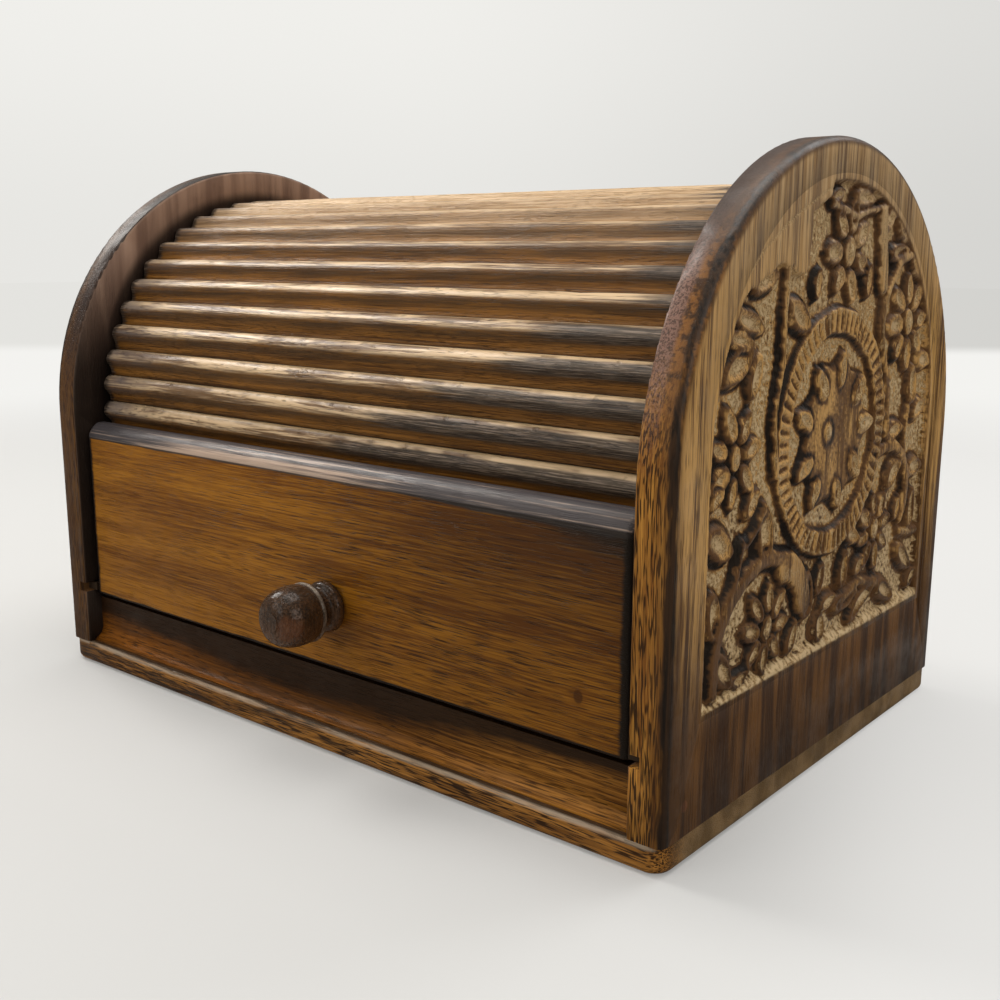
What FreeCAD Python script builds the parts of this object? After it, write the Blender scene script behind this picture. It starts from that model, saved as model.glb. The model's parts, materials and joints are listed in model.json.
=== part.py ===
import FreeCAD, Part
import math
import os

# Roll-top keepsake box: two arched end panels on a base plate carry a tambour of wooden
# slats. The tambour runs in grooves over the top, down the back and forward along the
# floor to the drawer, so pulling the drawer out rolls the tambour open.
# Millimetres. X runs along the box, Y from front to back, Z up from the table.

# Carcass
box_width = 210.0
arch_radius = 71.0
panel_thickness = 8.7
outer_arris = 2.0
inner_arris = 0.9
base_thickness = 6.5
base_corner_radius = 4.5
base_lower_round = 2.0
base_front_round = 1.4
rail_height = 13.1
rail_thickness = 6.4
rail_setback = 5.0
rail_cove_out = 2.8
rail_cove_height = 4.5
rail_cove_foot = 0.6
back_board_thickness = 7.0
back_board_round = 3.0

# Tambour
tambour_recess = 9.3
slat_thickness = 6.4
slat_pitch = 7.046
bead_width = 3.7
bead_depth = 2.3
bead_crown = 0.45
bead_lip = 0.8
valley_hollow = 0.25
leading_slat_angle = -1.05
runner_rise = 4.0
corner_radius = 5.0
pull_slat_lead = 3.6
last_slat_overrun = 0.9
canvas_thickness = 0.4
canvas_margin = 2.5

# Grooves and dadoes in the end panels
groove_depth = 3.0
tongue_thickness = 2.2
dado_depth = 2.0

# Drawer
drawer_bottom_lap = 0.8
drawer_front_drop = 3.3
drawer_front_thickness = 6.2
drawer_front_setback = 2.6
drawer_top_bevel = 3.8
drawer_bevel_crown = 0.5
drawer_edge_round = 2.0
drawer_side_thickness = 5.0
drawer_back_thickness = 4.2
drawer_back_step = 5.0
drawer_back_inset = 3.6
bottom_rebate = 4.3
ear_setback = 0.2

# Knob, measured out from the drawer's face
knob_offset_x = 7.4
knob_height = 15.9
knob_flange_radius = 6.3
knob_flange_thickness = 2.8
knob_flange_round = 0.6
knob_neck_radius = 4.8
knob_throat_radius = 5.2
knob_neck_end = 5.6
knob_rim_start = 7.0
knob_head_radius = 7.4
knob_rim_end = 11.0
knob_shoulder_radius = 5.6
knob_shoulder_out = 16.3
knob_length = 18.4
peg_radius = 2.5
peg_recess = 0.15

# Tray in the upper compartment
tray_floor_thickness = 3.0
tray_lip_thickness = 3.0
tray_lip_height = 6.0
tray_lip_gap = 0.9
tray_rear_gap = 3.4

# Fasteners
screw_radius = 1.5
screw_head_radius = 3.0
screw_head_depth = 1.8
screw_length = 18.0
screw_slot_width = 0.8
screw_slot_depth = 0.9
screw_edge_distance = 16.0
screw_rows = 3
rail_peg_radius = 1.2
rail_peg_length = 16.0

# Carving on the outer face of each end panel
carving_depth = 2.2
field_side_margin = 14.0
field_top_margin = 9.6
field_bottom_height = 30.5
ring_rise = 6.9
ring_outer_radius = 28.0
ring_inner_radius = 21.0
rosette_radius = 14.0
rosette_petals = 8
flower_petals = 6
flower_radius = 8.5
petal_share = 0.3
heart_share = 0.46
top_flower_inset = 14.7
left_flower_inset = 12.0
right_flower_inset = 14.2
right_flower_rise = 21.0
low_flower_offset = 29.5
low_flower_inset = 12.6

# Clearances
running_gap = 0.3
shoulder_gap = 1.0
tongue_end_gap = 0.4
drawer_end_gap = 1.5
drawer_side_gap = 2.0
drawer_rail_gap = 1.8
drawer_tray_gap = 0.5
tray_stop_gap = 0.85
slat_gap = 0.446
slat_seat_gap = 0.2
drawer_headroom = 2.537
back_board_gap = 1.3
same_plane = 0.000001

# Places that follow from the sizes
panel_inner_x = box_width / 2 - panel_thickness
slat_width = slat_pitch - slat_gap
crest_radius = arch_radius - tambour_recess
canvas_radius = crest_radius - slat_thickness
pitch_angle = slat_pitch / canvas_radius
drawer_front_bottom_z = base_thickness + rail_height + drawer_rail_gap
runner_bottom_z = drawer_front_bottom_z + drawer_bottom_lap
runner_top_z = runner_bottom_z + tongue_thickness
arch_centre_z = runner_top_z + canvas_radius - runner_rise
tongue_end_x = panel_inner_x + groove_depth - tongue_end_gap
shoulder_x = panel_inner_x - shoulder_gap
drawer_face_y = -arch_radius + drawer_front_setback
drawer_rear_face_y = drawer_face_y + drawer_front_thickness
drawer_front_top_z = arch_centre_z - drawer_front_drop
drawer_front_end_x = panel_inner_x - drawer_end_gap

# The canvas line: a circle about the arch's centre, a small bend, then a straight run
# forward at the height of the drawer bottom's upper face.
bend_centre_z = runner_top_z + corner_radius
bend_distance = canvas_radius - corner_radius
bend_centre_y = math.sqrt(bend_distance ** 2 - (arch_centre_z - bend_centre_z) ** 2)
circle_end_angle = math.pi + math.atan2(arch_centre_z - bend_centre_z, bend_centre_y)
circle_end_length = canvas_radius * circle_end_angle
bend_end_length = circle_end_length + corner_radius * (1.5 * math.pi - circle_end_angle)
leading_length = canvas_radius * math.radians(leading_slat_angle)

# The pull slat is the first one wholly past the bend, and is fixed to the drawer. The
# drawer travels until it meets the rail. Slats that stay on the circle over the whole
# travel move as one tambour, and the ones between them and the pull slat round the bend.
pull_index = 1 + int((bend_end_length + pull_slat_lead - leading_length) // slat_pitch)
pull_slat_y = bend_centre_y - (leading_length + pull_index * slat_pitch - bend_end_length)
rail_front_y = -arch_radius + rail_setback
rail_rear_y = rail_front_y + rail_thickness
travel = pull_slat_y - slat_width / 2 - running_gap - rail_rear_y
travel_angle = travel / canvas_radius
tambour_count = 1 + int((circle_end_length + last_slat_overrun - travel - leading_length) // slat_pitch)
drawer_bottom_rear_y = pull_slat_y - slat_width / 2 - slat_seat_gap
drawer_back_rear_y = drawer_bottom_rear_y - drawer_back_inset
tray_top_z = (arch_centre_z + canvas_radius * math.sin(math.radians(leading_slat_angle))
              - slat_width / 2 - tray_stop_gap)
drawer_side_top_z = tray_top_z - tray_floor_thickness - drawer_headroom
drawer_back_top_z = drawer_side_top_z - drawer_back_step
tray_front_y = drawer_rear_face_y + drawer_tray_gap
tray_inner_radius = canvas_radius - canvas_thickness - tray_lip_gap
tray_rear_y = tray_inner_radius - tray_rear_gap
back_board_front_y = crest_radius + back_board_gap
back_board_rear_y = back_board_front_y + back_board_thickness


def vector(x, y, z):
    return FreeCAD.Vector(x, y, z)


def block(x0, x1, y0, y1, z0, z1):
    return Part.makeBox(x1 - x0, y1 - y0, z1 - z0, vector(x0, y0, z0))


def rod(radius, start, end):
    along = end.sub(start)
    return Part.makeCylinder(radius, along.Length, start, along)


def extrude_profile(edges, x0, x1):
    """Extrude a closed run of edges, drawn in the plane X = 0, from x0 to x1."""
    face = Part.Face(Part.Wire(edges))
    face.translate(vector(x0, 0, 0))
    return face.extrude(vector(x1 - x0, 0, 0))


def line(start, end):
    return Part.LineSegment(start, end).toShape()


def arc(start, middle, end):
    return Part.Arc(start, middle, end).toShape()


def closed_polygon(points):
    return [line(points[i], points[(i + 1) % len(points)]) for i in range(len(points))]


def on_circle(radius, angle):
    """A point about the arch's centre; the angle runs from the front over the top."""
    return vector(0, -radius * math.cos(angle), arch_centre_z + radius * math.sin(angle))


def canvas_point(length):
    """Place and heading on the canvas line at a length from the front horizontal."""
    if length <= circle_end_length:
        angle = length / canvas_radius
        return on_circle(canvas_radius, angle), angle
    if length <= bend_end_length:
        angle = circle_end_angle + (length - circle_end_length) / corner_radius
        return vector(0, bend_centre_y - corner_radius * math.cos(angle),
                      bend_centre_z + corner_radius * math.sin(angle)), angle
    return vector(0, bend_centre_y - (length - bend_end_length), runner_top_z), 1.5 * math.pi


def slat_frame(index):
    """A function that carries slat coordinates (along the travel, outward) to the box."""
    origin, angle = canvas_point(leading_length + index * slat_pitch)
    along = vector(0, math.sin(angle), math.cos(angle))
    outward = vector(0, -math.cos(angle), math.sin(angle))

    def place(u, v):
        return origin.add(along * u).add(outward * v)
    return place


def slat_profile(place):
    """Bead on the upper half, shallow valley on the lower half."""
    half = slat_width / 2
    valley_top = slat_thickness - bead_depth
    bead_foot = half - bead_width
    crest_u = half - bead_lip
    crest = place(crest_u, slat_thickness)
    lip_inset = bead_lip * (1 - math.sqrt(0.5))
    lip_middle = place(half - lip_inset, slat_thickness - lip_inset)
    bead_middle = place((crest_u + bead_foot) / 2, slat_thickness - bead_depth / 2 + bead_crown)
    foot = place(bead_foot, valley_top)
    valley_middle = place((bead_foot - half) / 2, valley_top - valley_hollow)
    return [line(place(-half, 0), place(half, 0)),
            line(place(half, 0), place(half, slat_thickness - bead_lip)),
            arc(place(half, slat_thickness - bead_lip), lip_middle, crest),
            arc(crest, bead_middle, foot),
            arc(foot, valley_middle, place(-half, valley_top)),
            line(place(-half, valley_top), place(-half, 0))]


def slat(index, tongues):
    place = slat_frame(index)
    body = extrude_profile(slat_profile(place), -shoulder_x, shoulder_x)
    if not tongues:
        return body
    half = slat_width / 2
    corners = [place(-half, 0), place(half, 0), place(half, tongue_thickness), place(-half, tongue_thickness)]
    tongue = extrude_profile(closed_polygon(corners), -tongue_end_x, tongue_end_x)
    return body.fuse(tongue).removeSplitter()


def tambour_canvas():
    """Cloth glued to the flat backs of the tambour slats, one facet under each slat."""
    mitre = math.cos(pitch_angle / 2)
    outer_radius = canvas_radius / mitre
    inner_radius = (canvas_radius - canvas_thickness) / mitre
    first = math.radians(leading_slat_angle) - pitch_angle / 2
    angles = [first + n * pitch_angle for n in range(tambour_count + 1)]
    corners = [on_circle(outer_radius, a) for a in angles]
    corners += [on_circle(inner_radius, a) for a in reversed(angles)]
    return extrude_profile(closed_polygon(corners), canvas_margin - shoulder_x, shoulder_x - canvas_margin)


def pull_canvas():
    """The end of the cloth, glued over the pull slat and the drawer bottom's rear edge."""
    return block(canvas_margin - shoulder_x, shoulder_x - canvas_margin,
                 drawer_back_rear_y + slat_seat_gap, pull_slat_y + slat_width / 2,
                 runner_top_z, runner_top_z + canvas_thickness)


def arch_outline(half_width, bottom_z, centre_z):
    left_foot = vector(0, -half_width, bottom_z)
    right_foot = vector(0, half_width, bottom_z)
    left_spring = vector(0, -half_width, centre_z)
    right_spring = vector(0, half_width, centre_z)
    crown = vector(0, 0, centre_z + half_width)
    return [line(left_foot, left_spring), arc(left_spring, crown, right_spring),
            line(right_spring, right_foot), line(right_foot, left_foot)]


def edges_on_face(shape, x, lowest_z):
    """The edges that lie in the plane at x and aren't the board's foot."""
    found = []
    for edge in shape.Edges:
        box = edge.BoundBox
        in_plane = abs(box.XMin - x) < same_plane and abs(box.XMax - x) < same_plane
        if in_plane and box.ZMax > lowest_z + same_plane:
            found.append(edge)
    return found


def tambour_groove(x0, x1):
    """The slats' groove: over the arch, then forward and out at the panel's front edge."""
    inner = canvas_radius - running_gap
    outer = canvas_radius + tongue_thickness + running_gap
    start = math.radians(leading_slat_angle) - pitch_angle / 2 - running_gap / canvas_radius
    last = math.radians(leading_slat_angle) + (tambour_count - 1) * pitch_angle + travel_angle
    end = last + pitch_angle / 2 + 2 * running_gap / canvas_radius
    middle = (start + end) / 2
    ring = [arc(on_circle(outer, start), on_circle(outer, middle), on_circle(outer, end)),
            line(on_circle(outer, end), on_circle(inner, end)),
            arc(on_circle(inner, end), on_circle(inner, middle), on_circle(inner, start)),
            line(on_circle(inner, start), on_circle(outer, start))]
    low = runner_bottom_z - running_gap
    high = runner_top_z + running_gap
    drop = arch_centre_z - low
    rear = math.sqrt(outer ** 2 - drop ** 2)
    straight = block(x0, x1, -arch_radius - panel_thickness, rear, low, high)
    return extrude_profile(ring, x0, x1).fuse(straight)


def disc(radius, y, z, x0, x1):
    return rod(radius, vector(x0, y, z), vector(x1, y, z))


def flower(radius, petals, y, z, x0, x1):
    """Round petals about a round heart."""
    petal_radius = radius * petal_share
    shapes = [disc(radius * heart_share, y, z, x0, x1)]
    for n in range(petals):
        angle = 2 * math.pi * n / petals
        shapes.append(disc(petal_radius, y + (radius - petal_radius) * math.cos(angle),
                           z + (radius - petal_radius) * math.sin(angle), x0, x1))
    return shapes


def carved_ground():
    """What the carver takes away: the arched field, less the ring, rosette and flowers."""
    floor_x = box_width / 2 - carving_depth
    face_x = box_width / 2
    field_half = arch_radius - field_side_margin
    field_centre_z = arch_centre_z + field_side_margin - field_top_margin
    ground = extrude_profile(arch_outline(field_half, field_bottom_height, field_centre_z),
                             floor_x, face_x + carving_depth)
    ring_z = arch_centre_z + ring_rise
    low_z = field_bottom_height + low_flower_inset
    ring = disc(ring_outer_radius, 0, ring_z, floor_x, face_x)
    ring = ring.cut(disc(ring_inner_radius, 0, ring_z, floor_x, face_x))
    raised = [ring] + flower(rosette_radius, rosette_petals, 0, ring_z, floor_x, face_x)
    small_flowers = [(0, field_centre_z + field_half - top_flower_inset),
                     (left_flower_inset - field_half, ring_z),
                     (field_half - right_flower_inset, ring_z + right_flower_rise),
                     (-low_flower_offset, low_z), (low_flower_offset, low_z)]
    for y, z in small_flowers:
        raised += flower(flower_radius, flower_petals, y, z, floor_x, face_x)
    return ground.cut(raised)


def screw_places():
    """Foot of each base screw, along the middle of the end panels."""
    x = box_width / 2 - panel_thickness / 2
    span = 2 * (arch_radius - screw_edge_distance)
    places = []
    for side in (-1, 1):
        for row in range(screw_rows):
            y = -span / 2 + span * row / (screw_rows - 1)
            places.append(vector(side * x, y, 0))
    return places


def rail_peg_places():
    y = (rail_front_y + rail_rear_y) / 2
    z = base_thickness + rail_height / 2
    return [vector(side * box_width / 2, y, z) for side in (-1, 1)]


def rail_peg(place):
    inward = vector(-math.copysign(rail_peg_length, place.x), 0, 0)
    return rod(rail_peg_radius, place, place.add(inward))


def screw_shank(foot):
    return rod(screw_radius, foot, foot.add(vector(0, 0, screw_length)))


def screw_head(foot):
    return Part.makeCone(screw_head_radius, screw_radius, screw_head_depth, foot)


def end_panel():
    """The right-hand end panel; the left one is its mirror image."""
    outer_x = box_width / 2
    board = extrude_profile(arch_outline(arch_radius, base_thickness, arch_centre_z), panel_inner_x, outer_x)
    board = board.makeFillet(outer_arris, edges_on_face(board, outer_x, base_thickness))
    board = board.makeFillet(inner_arris, edges_on_face(board, panel_inner_x, base_thickness))
    groove = tambour_groove(panel_inner_x - groove_depth, panel_inner_x + groove_depth)
    dado = block(panel_inner_x - dado_depth, panel_inner_x + dado_depth, tray_front_y, tray_rear_y,
                 tray_top_z - tray_floor_thickness, tray_top_z)
    cutters = [groove, dado, carved_ground()]
    cutters += [screw_shank(foot) for foot in screw_places() if foot.x > 0]
    cutters += [rail_peg(place) for place in rail_peg_places() if place.x > 0]
    return board.cut(cutters)


def mirrored(shape):
    return shape.mirror(vector(0, 0, 0), vector(1, 0, 0))


def quarter_round(radius, x0, x1, y, z, inward):
    """A cutter that rounds an upper edge along X; inward is +1 for a front edge, -1 for a rear one."""
    inset = radius * (1 - math.sqrt(0.5))
    inner_y = y + inward * radius
    outer_y = y - inward * radius
    low = vector(0, y, z - radius)
    high = vector(0, inner_y, z)
    above = vector(0, inner_y, z + radius)
    outside_top = vector(0, outer_y, z + radius)
    outside_low = vector(0, outer_y, z - radius)
    edges = [arc(low, vector(0, y + inward * inset, z - inset), high), line(high, above),
             line(above, outside_top), line(outside_top, outside_low), line(outside_low, low)]
    return extrude_profile(edges, x0, x1)


def base_plate():
    plate = block(-box_width / 2, box_width / 2, -arch_radius, arch_radius, 0, base_thickness)
    upright = [e for e in plate.Edges if e.BoundBox.ZLength > base_thickness / 2]
    plate = plate.makeFillet(base_corner_radius, upright)
    lower = [e for e in plate.Edges if e.BoundBox.ZMax < base_thickness / 2]
    plate = plate.makeFillet(base_lower_round, lower)
    cutters = [quarter_round(base_front_round, -panel_inner_x, panel_inner_x, side * arch_radius,
                             base_thickness, -side) for side in (-1, 1)]
    for foot in screw_places():
        cutters += [screw_shank(foot), screw_head(foot)]
    return plate.cut(cutters)


def base_screws():
    screws = []
    for foot in screw_places():
        screw = screw_shank(foot).fuse(screw_head(foot))
        slot = block(foot.x - screw_head_radius, foot.x + screw_head_radius,
                     foot.y - screw_slot_width / 2, foot.y + screw_slot_width / 2, 0, screw_slot_depth)
        screws.append(screw.cut(slot))
    return Part.makeCompound(screws)


def front_rail():
    """A rail whose front face coves out at its foot."""
    diagonal = math.sqrt(0.5)
    top_z = base_thickness + rail_height
    cove_top_z = base_thickness + rail_cove_height
    cove_drop = rail_cove_height - rail_cove_foot
    foot_y = rail_front_y - rail_cove_out
    top = vector(0, rail_front_y, top_z)
    cove_top = vector(0, rail_front_y, cove_top_z)
    cove_middle = vector(0, foot_y + diagonal * rail_cove_out, cove_top_z - diagonal * cove_drop)
    foot_top = vector(0, foot_y, base_thickness + rail_cove_foot)
    foot = vector(0, foot_y, base_thickness)
    rear_foot = vector(0, rail_rear_y, base_thickness)
    rear_top = vector(0, rail_rear_y, top_z)
    profile = [line(top, cove_top), arc(cove_top, cove_middle, foot_top), line(foot_top, foot),
               line(foot, rear_foot), line(rear_foot, rear_top), line(rear_top, top)]
    rail = extrude_profile(profile, -panel_inner_x, panel_inner_x)
    return rail.cut([rail_peg(place) for place in rail_peg_places()])


def rail_pegs():
    return Part.makeCompound([rail_peg(place) for place in rail_peg_places()])


def back_board():
    board = block(-panel_inner_x, panel_inner_x, back_board_front_y, back_board_rear_y,
                  base_thickness, arch_centre_z)
    rounding = quarter_round(back_board_round, -panel_inner_x, panel_inner_x, back_board_rear_y,
                             arch_centre_z, -1)
    return board.cut(rounding)


def tray_floor():
    half = panel_inner_x + dado_depth
    return block(-half, half, tray_front_y, tray_rear_y, tray_top_z - tray_floor_thickness, tray_top_z)


def tray_front_lip():
    front_y = -tray_inner_radius
    return block(-panel_inner_x, panel_inner_x, front_y, front_y + tray_lip_thickness,
                 tray_top_z, tray_top_z + tray_lip_height)


def tray_rear_lip():
    return block(-panel_inner_x, panel_inner_x, tray_rear_y - tray_lip_thickness, tray_rear_y,
                 tray_top_z, tray_top_z + tray_lip_height)


def drawer_front():
    bevel_low = vector(0, drawer_face_y, drawer_front_top_z - drawer_top_bevel)
    bevel_high = vector(0, drawer_face_y + drawer_top_bevel, drawer_front_top_z)
    crown = drawer_bevel_crown / math.sqrt(2)
    bevel_middle = bevel_low.add(bevel_high).multiply(0.5).add(vector(0, -crown, crown))
    rear_top = vector(0, drawer_rear_face_y, drawer_front_top_z)
    rear_bottom = vector(0, drawer_rear_face_y, drawer_front_bottom_z)
    face_bottom = vector(0, drawer_face_y, drawer_front_bottom_z)
    profile = [line(face_bottom, bevel_low), arc(bevel_low, bevel_middle, bevel_high),
               line(bevel_high, rear_top), line(rear_top, rear_bottom), line(rear_bottom, face_bottom)]
    board = extrude_profile(profile, -drawer_front_end_x, drawer_front_end_x)
    half_height = board.BoundBox.ZLength / 2
    ends = [e for e in board.Edges
            if e.BoundBox.YMax < drawer_face_y + same_plane and e.BoundBox.ZLength > half_height]
    board = board.makeFillet(drawer_edge_round, ends)
    rebate = block(-tongue_end_x, tongue_end_x, drawer_rear_face_y - bottom_rebate, drawer_rear_face_y,
                   runner_bottom_z, runner_top_z)
    return board.cut([rebate, knob_peg()])


def drawer_side():
    """The right-hand side; the left one is its mirror image."""
    outer_x = panel_inner_x - drawer_side_gap
    return block(outer_x - drawer_side_thickness, outer_x, drawer_rear_face_y, drawer_back_rear_y,
                 runner_top_z, drawer_side_top_z)


def drawer_back():
    half = panel_inner_x - drawer_side_gap - drawer_side_thickness
    return block(-half, half, drawer_back_rear_y - drawer_back_thickness, drawer_back_rear_y,
                 runner_top_z, drawer_back_top_z)


def drawer_bottom():
    """The bottom, with ears in the end panels' grooves that reach past the front's ends."""
    board_front_y = drawer_rear_face_y - bottom_rebate
    board = block(-tongue_end_x, tongue_end_x, board_front_y, drawer_bottom_rear_y,
                  runner_bottom_z, runner_top_z)
    ears = [block(x0, x1, drawer_face_y + ear_setback, board_front_y, runner_bottom_z, runner_top_z)
            for x0, x1 in ((-tongue_end_x, -drawer_front_end_x), (drawer_front_end_x, tongue_end_x))]
    return board.fuse(ears).removeSplitter()


def knob_axis_point(out):
    """A point on the knob's axis, so far out from the drawer's face."""
    return vector(knob_offset_x, drawer_face_y - out, drawer_front_bottom_z + knob_height)


def knob_peg():
    inner = knob_axis_point(-drawer_front_thickness)
    return rod(peg_radius, inner, knob_axis_point(knob_length - peg_recess))


def drawer_knob():
    """A flange on the drawer's face, a neck and a domed head, turned round the peg."""
    def at(radius, out):
        return knob_axis_point(out).add(vector(radius, 0, 0))
    flange_flat = knob_flange_radius - knob_flange_round
    foot = at(flange_flat, 0)
    flange_middle = at(knob_flange_radius, knob_flange_thickness / 2)
    flange_top = at(flange_flat, knob_flange_thickness)
    throat_low = at(knob_throat_radius, knob_flange_thickness)
    neck_middle = at(knob_neck_radius, (knob_flange_thickness + knob_neck_end) / 2)
    throat_high = at(knob_throat_radius, knob_neck_end)
    rim_low = at(knob_head_radius, knob_rim_start)
    rim_high = at(knob_head_radius, knob_rim_end)
    shoulder = at(knob_shoulder_radius, knob_shoulder_out)
    bore_mouth = at(peg_radius, knob_length)
    bore_foot = at(peg_radius, 0)
    profile = [line(bore_foot, foot), arc(foot, flange_middle, flange_top), line(flange_top, throat_low),
               arc(throat_low, neck_middle, throat_high), line(throat_high, rim_low),
               line(rim_low, rim_high), arc(rim_high, shoulder, bore_mouth), line(bore_mouth, bore_foot)]
    return Part.Face(Part.Wire(profile)).revolve(knob_axis_point(0), vector(0, 1, 0), 360)


def write_node(name, shape):
    if not shape.isValid():
        raise RuntimeError("the solid is not valid: " + name)
    shape.exportStep(os.path.join("parts", name + ".step"))


def main():
    os.makedirs("parts", exist_ok=True)
    right_panel = end_panel()
    right_drawer_side = drawer_side()
    write_node("base_plate", base_plate())
    write_node("base_screws", base_screws())
    write_node("right_end_panel", right_panel)
    write_node("left_end_panel", mirrored(right_panel))
    write_node("front_rail", front_rail())
    write_node("rail_pegs", rail_pegs())
    write_node("back_board", back_board())
    write_node("tray_floor", tray_floor())
    write_node("tray_front_lip", tray_front_lip())
    write_node("tray_rear_lip", tray_rear_lip())
    write_node("drawer_front", drawer_front())
    write_node("drawer_right_side", right_drawer_side)
    write_node("drawer_left_side", mirrored(right_drawer_side))
    write_node("drawer_back", drawer_back())
    write_node("drawer_bottom", drawer_bottom())
    write_node("drawer_knob", drawer_knob())
    write_node("knob_peg", knob_peg())
    write_node("pull_canvas", pull_canvas())
    write_node("pull_slat", slat(pull_index, True))
    write_node("tambour_canvas", tambour_canvas())
    for index in range(tambour_count):
        write_node("tambour_slat_%02d" % (index + 1), slat(index, True))
    for index in range(tambour_count, pull_index):
        write_node("rear_slat_%02d" % (index - tambour_count + 1), slat(index, False))


main()
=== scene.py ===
import json
import math

import bmesh
import bpy
import numpy as np
from mathutils import Matrix, Vector, noise


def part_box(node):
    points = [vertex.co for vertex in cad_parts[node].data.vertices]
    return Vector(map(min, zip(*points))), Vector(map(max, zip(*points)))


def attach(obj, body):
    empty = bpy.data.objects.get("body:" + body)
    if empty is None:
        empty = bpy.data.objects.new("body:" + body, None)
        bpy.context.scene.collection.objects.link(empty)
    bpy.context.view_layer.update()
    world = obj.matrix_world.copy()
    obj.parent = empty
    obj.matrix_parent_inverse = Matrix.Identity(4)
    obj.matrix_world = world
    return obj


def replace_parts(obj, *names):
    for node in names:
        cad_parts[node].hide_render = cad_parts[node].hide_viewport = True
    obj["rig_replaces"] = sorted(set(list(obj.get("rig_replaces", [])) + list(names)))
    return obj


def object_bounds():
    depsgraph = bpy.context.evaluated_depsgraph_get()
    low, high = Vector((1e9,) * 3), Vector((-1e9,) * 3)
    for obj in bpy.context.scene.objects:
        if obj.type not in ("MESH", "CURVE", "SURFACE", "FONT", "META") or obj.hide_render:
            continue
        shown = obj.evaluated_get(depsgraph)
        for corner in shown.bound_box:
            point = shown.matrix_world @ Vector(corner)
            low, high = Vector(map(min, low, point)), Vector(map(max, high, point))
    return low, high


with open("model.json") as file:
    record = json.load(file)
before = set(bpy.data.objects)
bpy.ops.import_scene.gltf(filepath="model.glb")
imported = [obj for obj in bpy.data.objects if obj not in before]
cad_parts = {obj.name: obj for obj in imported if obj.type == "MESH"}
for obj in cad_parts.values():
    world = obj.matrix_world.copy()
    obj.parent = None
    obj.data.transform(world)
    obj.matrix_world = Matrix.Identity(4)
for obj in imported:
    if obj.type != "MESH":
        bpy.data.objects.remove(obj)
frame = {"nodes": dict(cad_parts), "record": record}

bl_info = {
    "name": "Tambour lid box",
    "version": (1, 0, 0),
    "blender": (4, 5, 0),
    "location": "View3D > Sidebar > Tambour box",
    "description": "Dresses the roll-top keepsake box: carved ends, worn slats, drawer, knob and stage",
    "category": "Object",
}

MM = 0.001

# Places read from the frame, in metres. X runs along the box, Y to the back, Z up.
cad_low, cad_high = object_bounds()
panel_low, panel_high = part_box("right_end_panel")
rail_low, rail_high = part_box("front_rail")
drawer_low, drawer_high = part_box("drawer_front")
arch_radius = panel_high.y
arch_centre_z = panel_high.z - arch_radius
panel_face_x = panel_high.x
panel_inner_x = panel_low.x


# ---------------------------------------------------------------- sizes and colours

def length(name, description, default_mm, low=0.0, high=200.0):
    """A length in metres, given here in millimetres."""
    return bpy.props.FloatProperty(name=name, description=description, default=default_mm * MM,
                                   min=low * MM, max=high * MM, unit="LENGTH", precision=5)


def colour(name, description, red, green, blue):
    return bpy.props.FloatVectorProperty(name=name, description=description, subtype="COLOR", size=3,
                                         default=(red, green, blue), min=0.0, max=1.0)


class BoxCarvingSizes(bpy.types.PropertyGroup):
    depth: length("Depth", "How far the ground lies under the panel's face", 1.9)
    side_margin: length("Side margin", "Plain wood beside the carved field", 14.0)
    top_margin: length("Top margin", "Plain wood over the carved field", 9.4)
    field_bottom: length("Field bottom", "Height of the field's lower edge", 30.8)
    pocket_margin: length("Pocket margin", "Plain wood that the carved slab takes in round the field", 1.6)
    pocket_depth: length("Pocket depth", "Thickness of the carved slab", 3.2)
    cell: length("Cell", "Spacing of the carved surface's points", 0.38)
    ring_height: length("Ring height", "Height of the ring's centre", 81.4)


class BoxSlatSizes(bpy.types.PropertyGroup):
    tongue: length("Tongue", "Thickness of the tongue in the groove", 2.2)
    tongue_length: length("Tongue length", "How far the tongue reaches past the shoulder", 3.6)
    wobble: length("Wobble", "Unevenness left by hand sanding", 0.13)
    stations: bpy.props.IntProperty(name="Stations", description="Cross-sections along a slat",
                                    default=44, min=4, max=120)


class BoxDrawerSizes(bpy.types.PropertyGroup):
    bevel: length("Bevel", "Width of the burnished bevel along the top edge", 3.8)
    end_round: length("End round", "Rounding of the upright front edges", 1.9)
    foot_round: length("Foot round", "Rounding of the lower front edge", 0.7)
    rebate: length("Rebate", "Depth of the rebate for the bottom, from the front's back", 4.3)


class BoxKnobSizes(bpy.types.PropertyGroup):
    flange_radius: length("Flange radius", "Radius of the flange on the drawer's face", 6.3)
    flange_thickness: length("Flange thickness", "Thickness of the flange", 2.8)
    neck_radius: length("Neck radius", "Radius of the waist", 4.8)
    neck_end: length("Neck end", "Where the waist ends, out from the face", 5.6)
    rim_start: length("Rim start", "Where the head's back rim starts, out from the face", 7.0)
    rim_end: length("Rim end", "Where the head starts to round over, out from the face", 11.0)
    head_radius: length("Head radius", "Radius of the head", 7.4)
    dome_end: length("Dome end", "How far the dome stands out from the face", 18.1)


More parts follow.
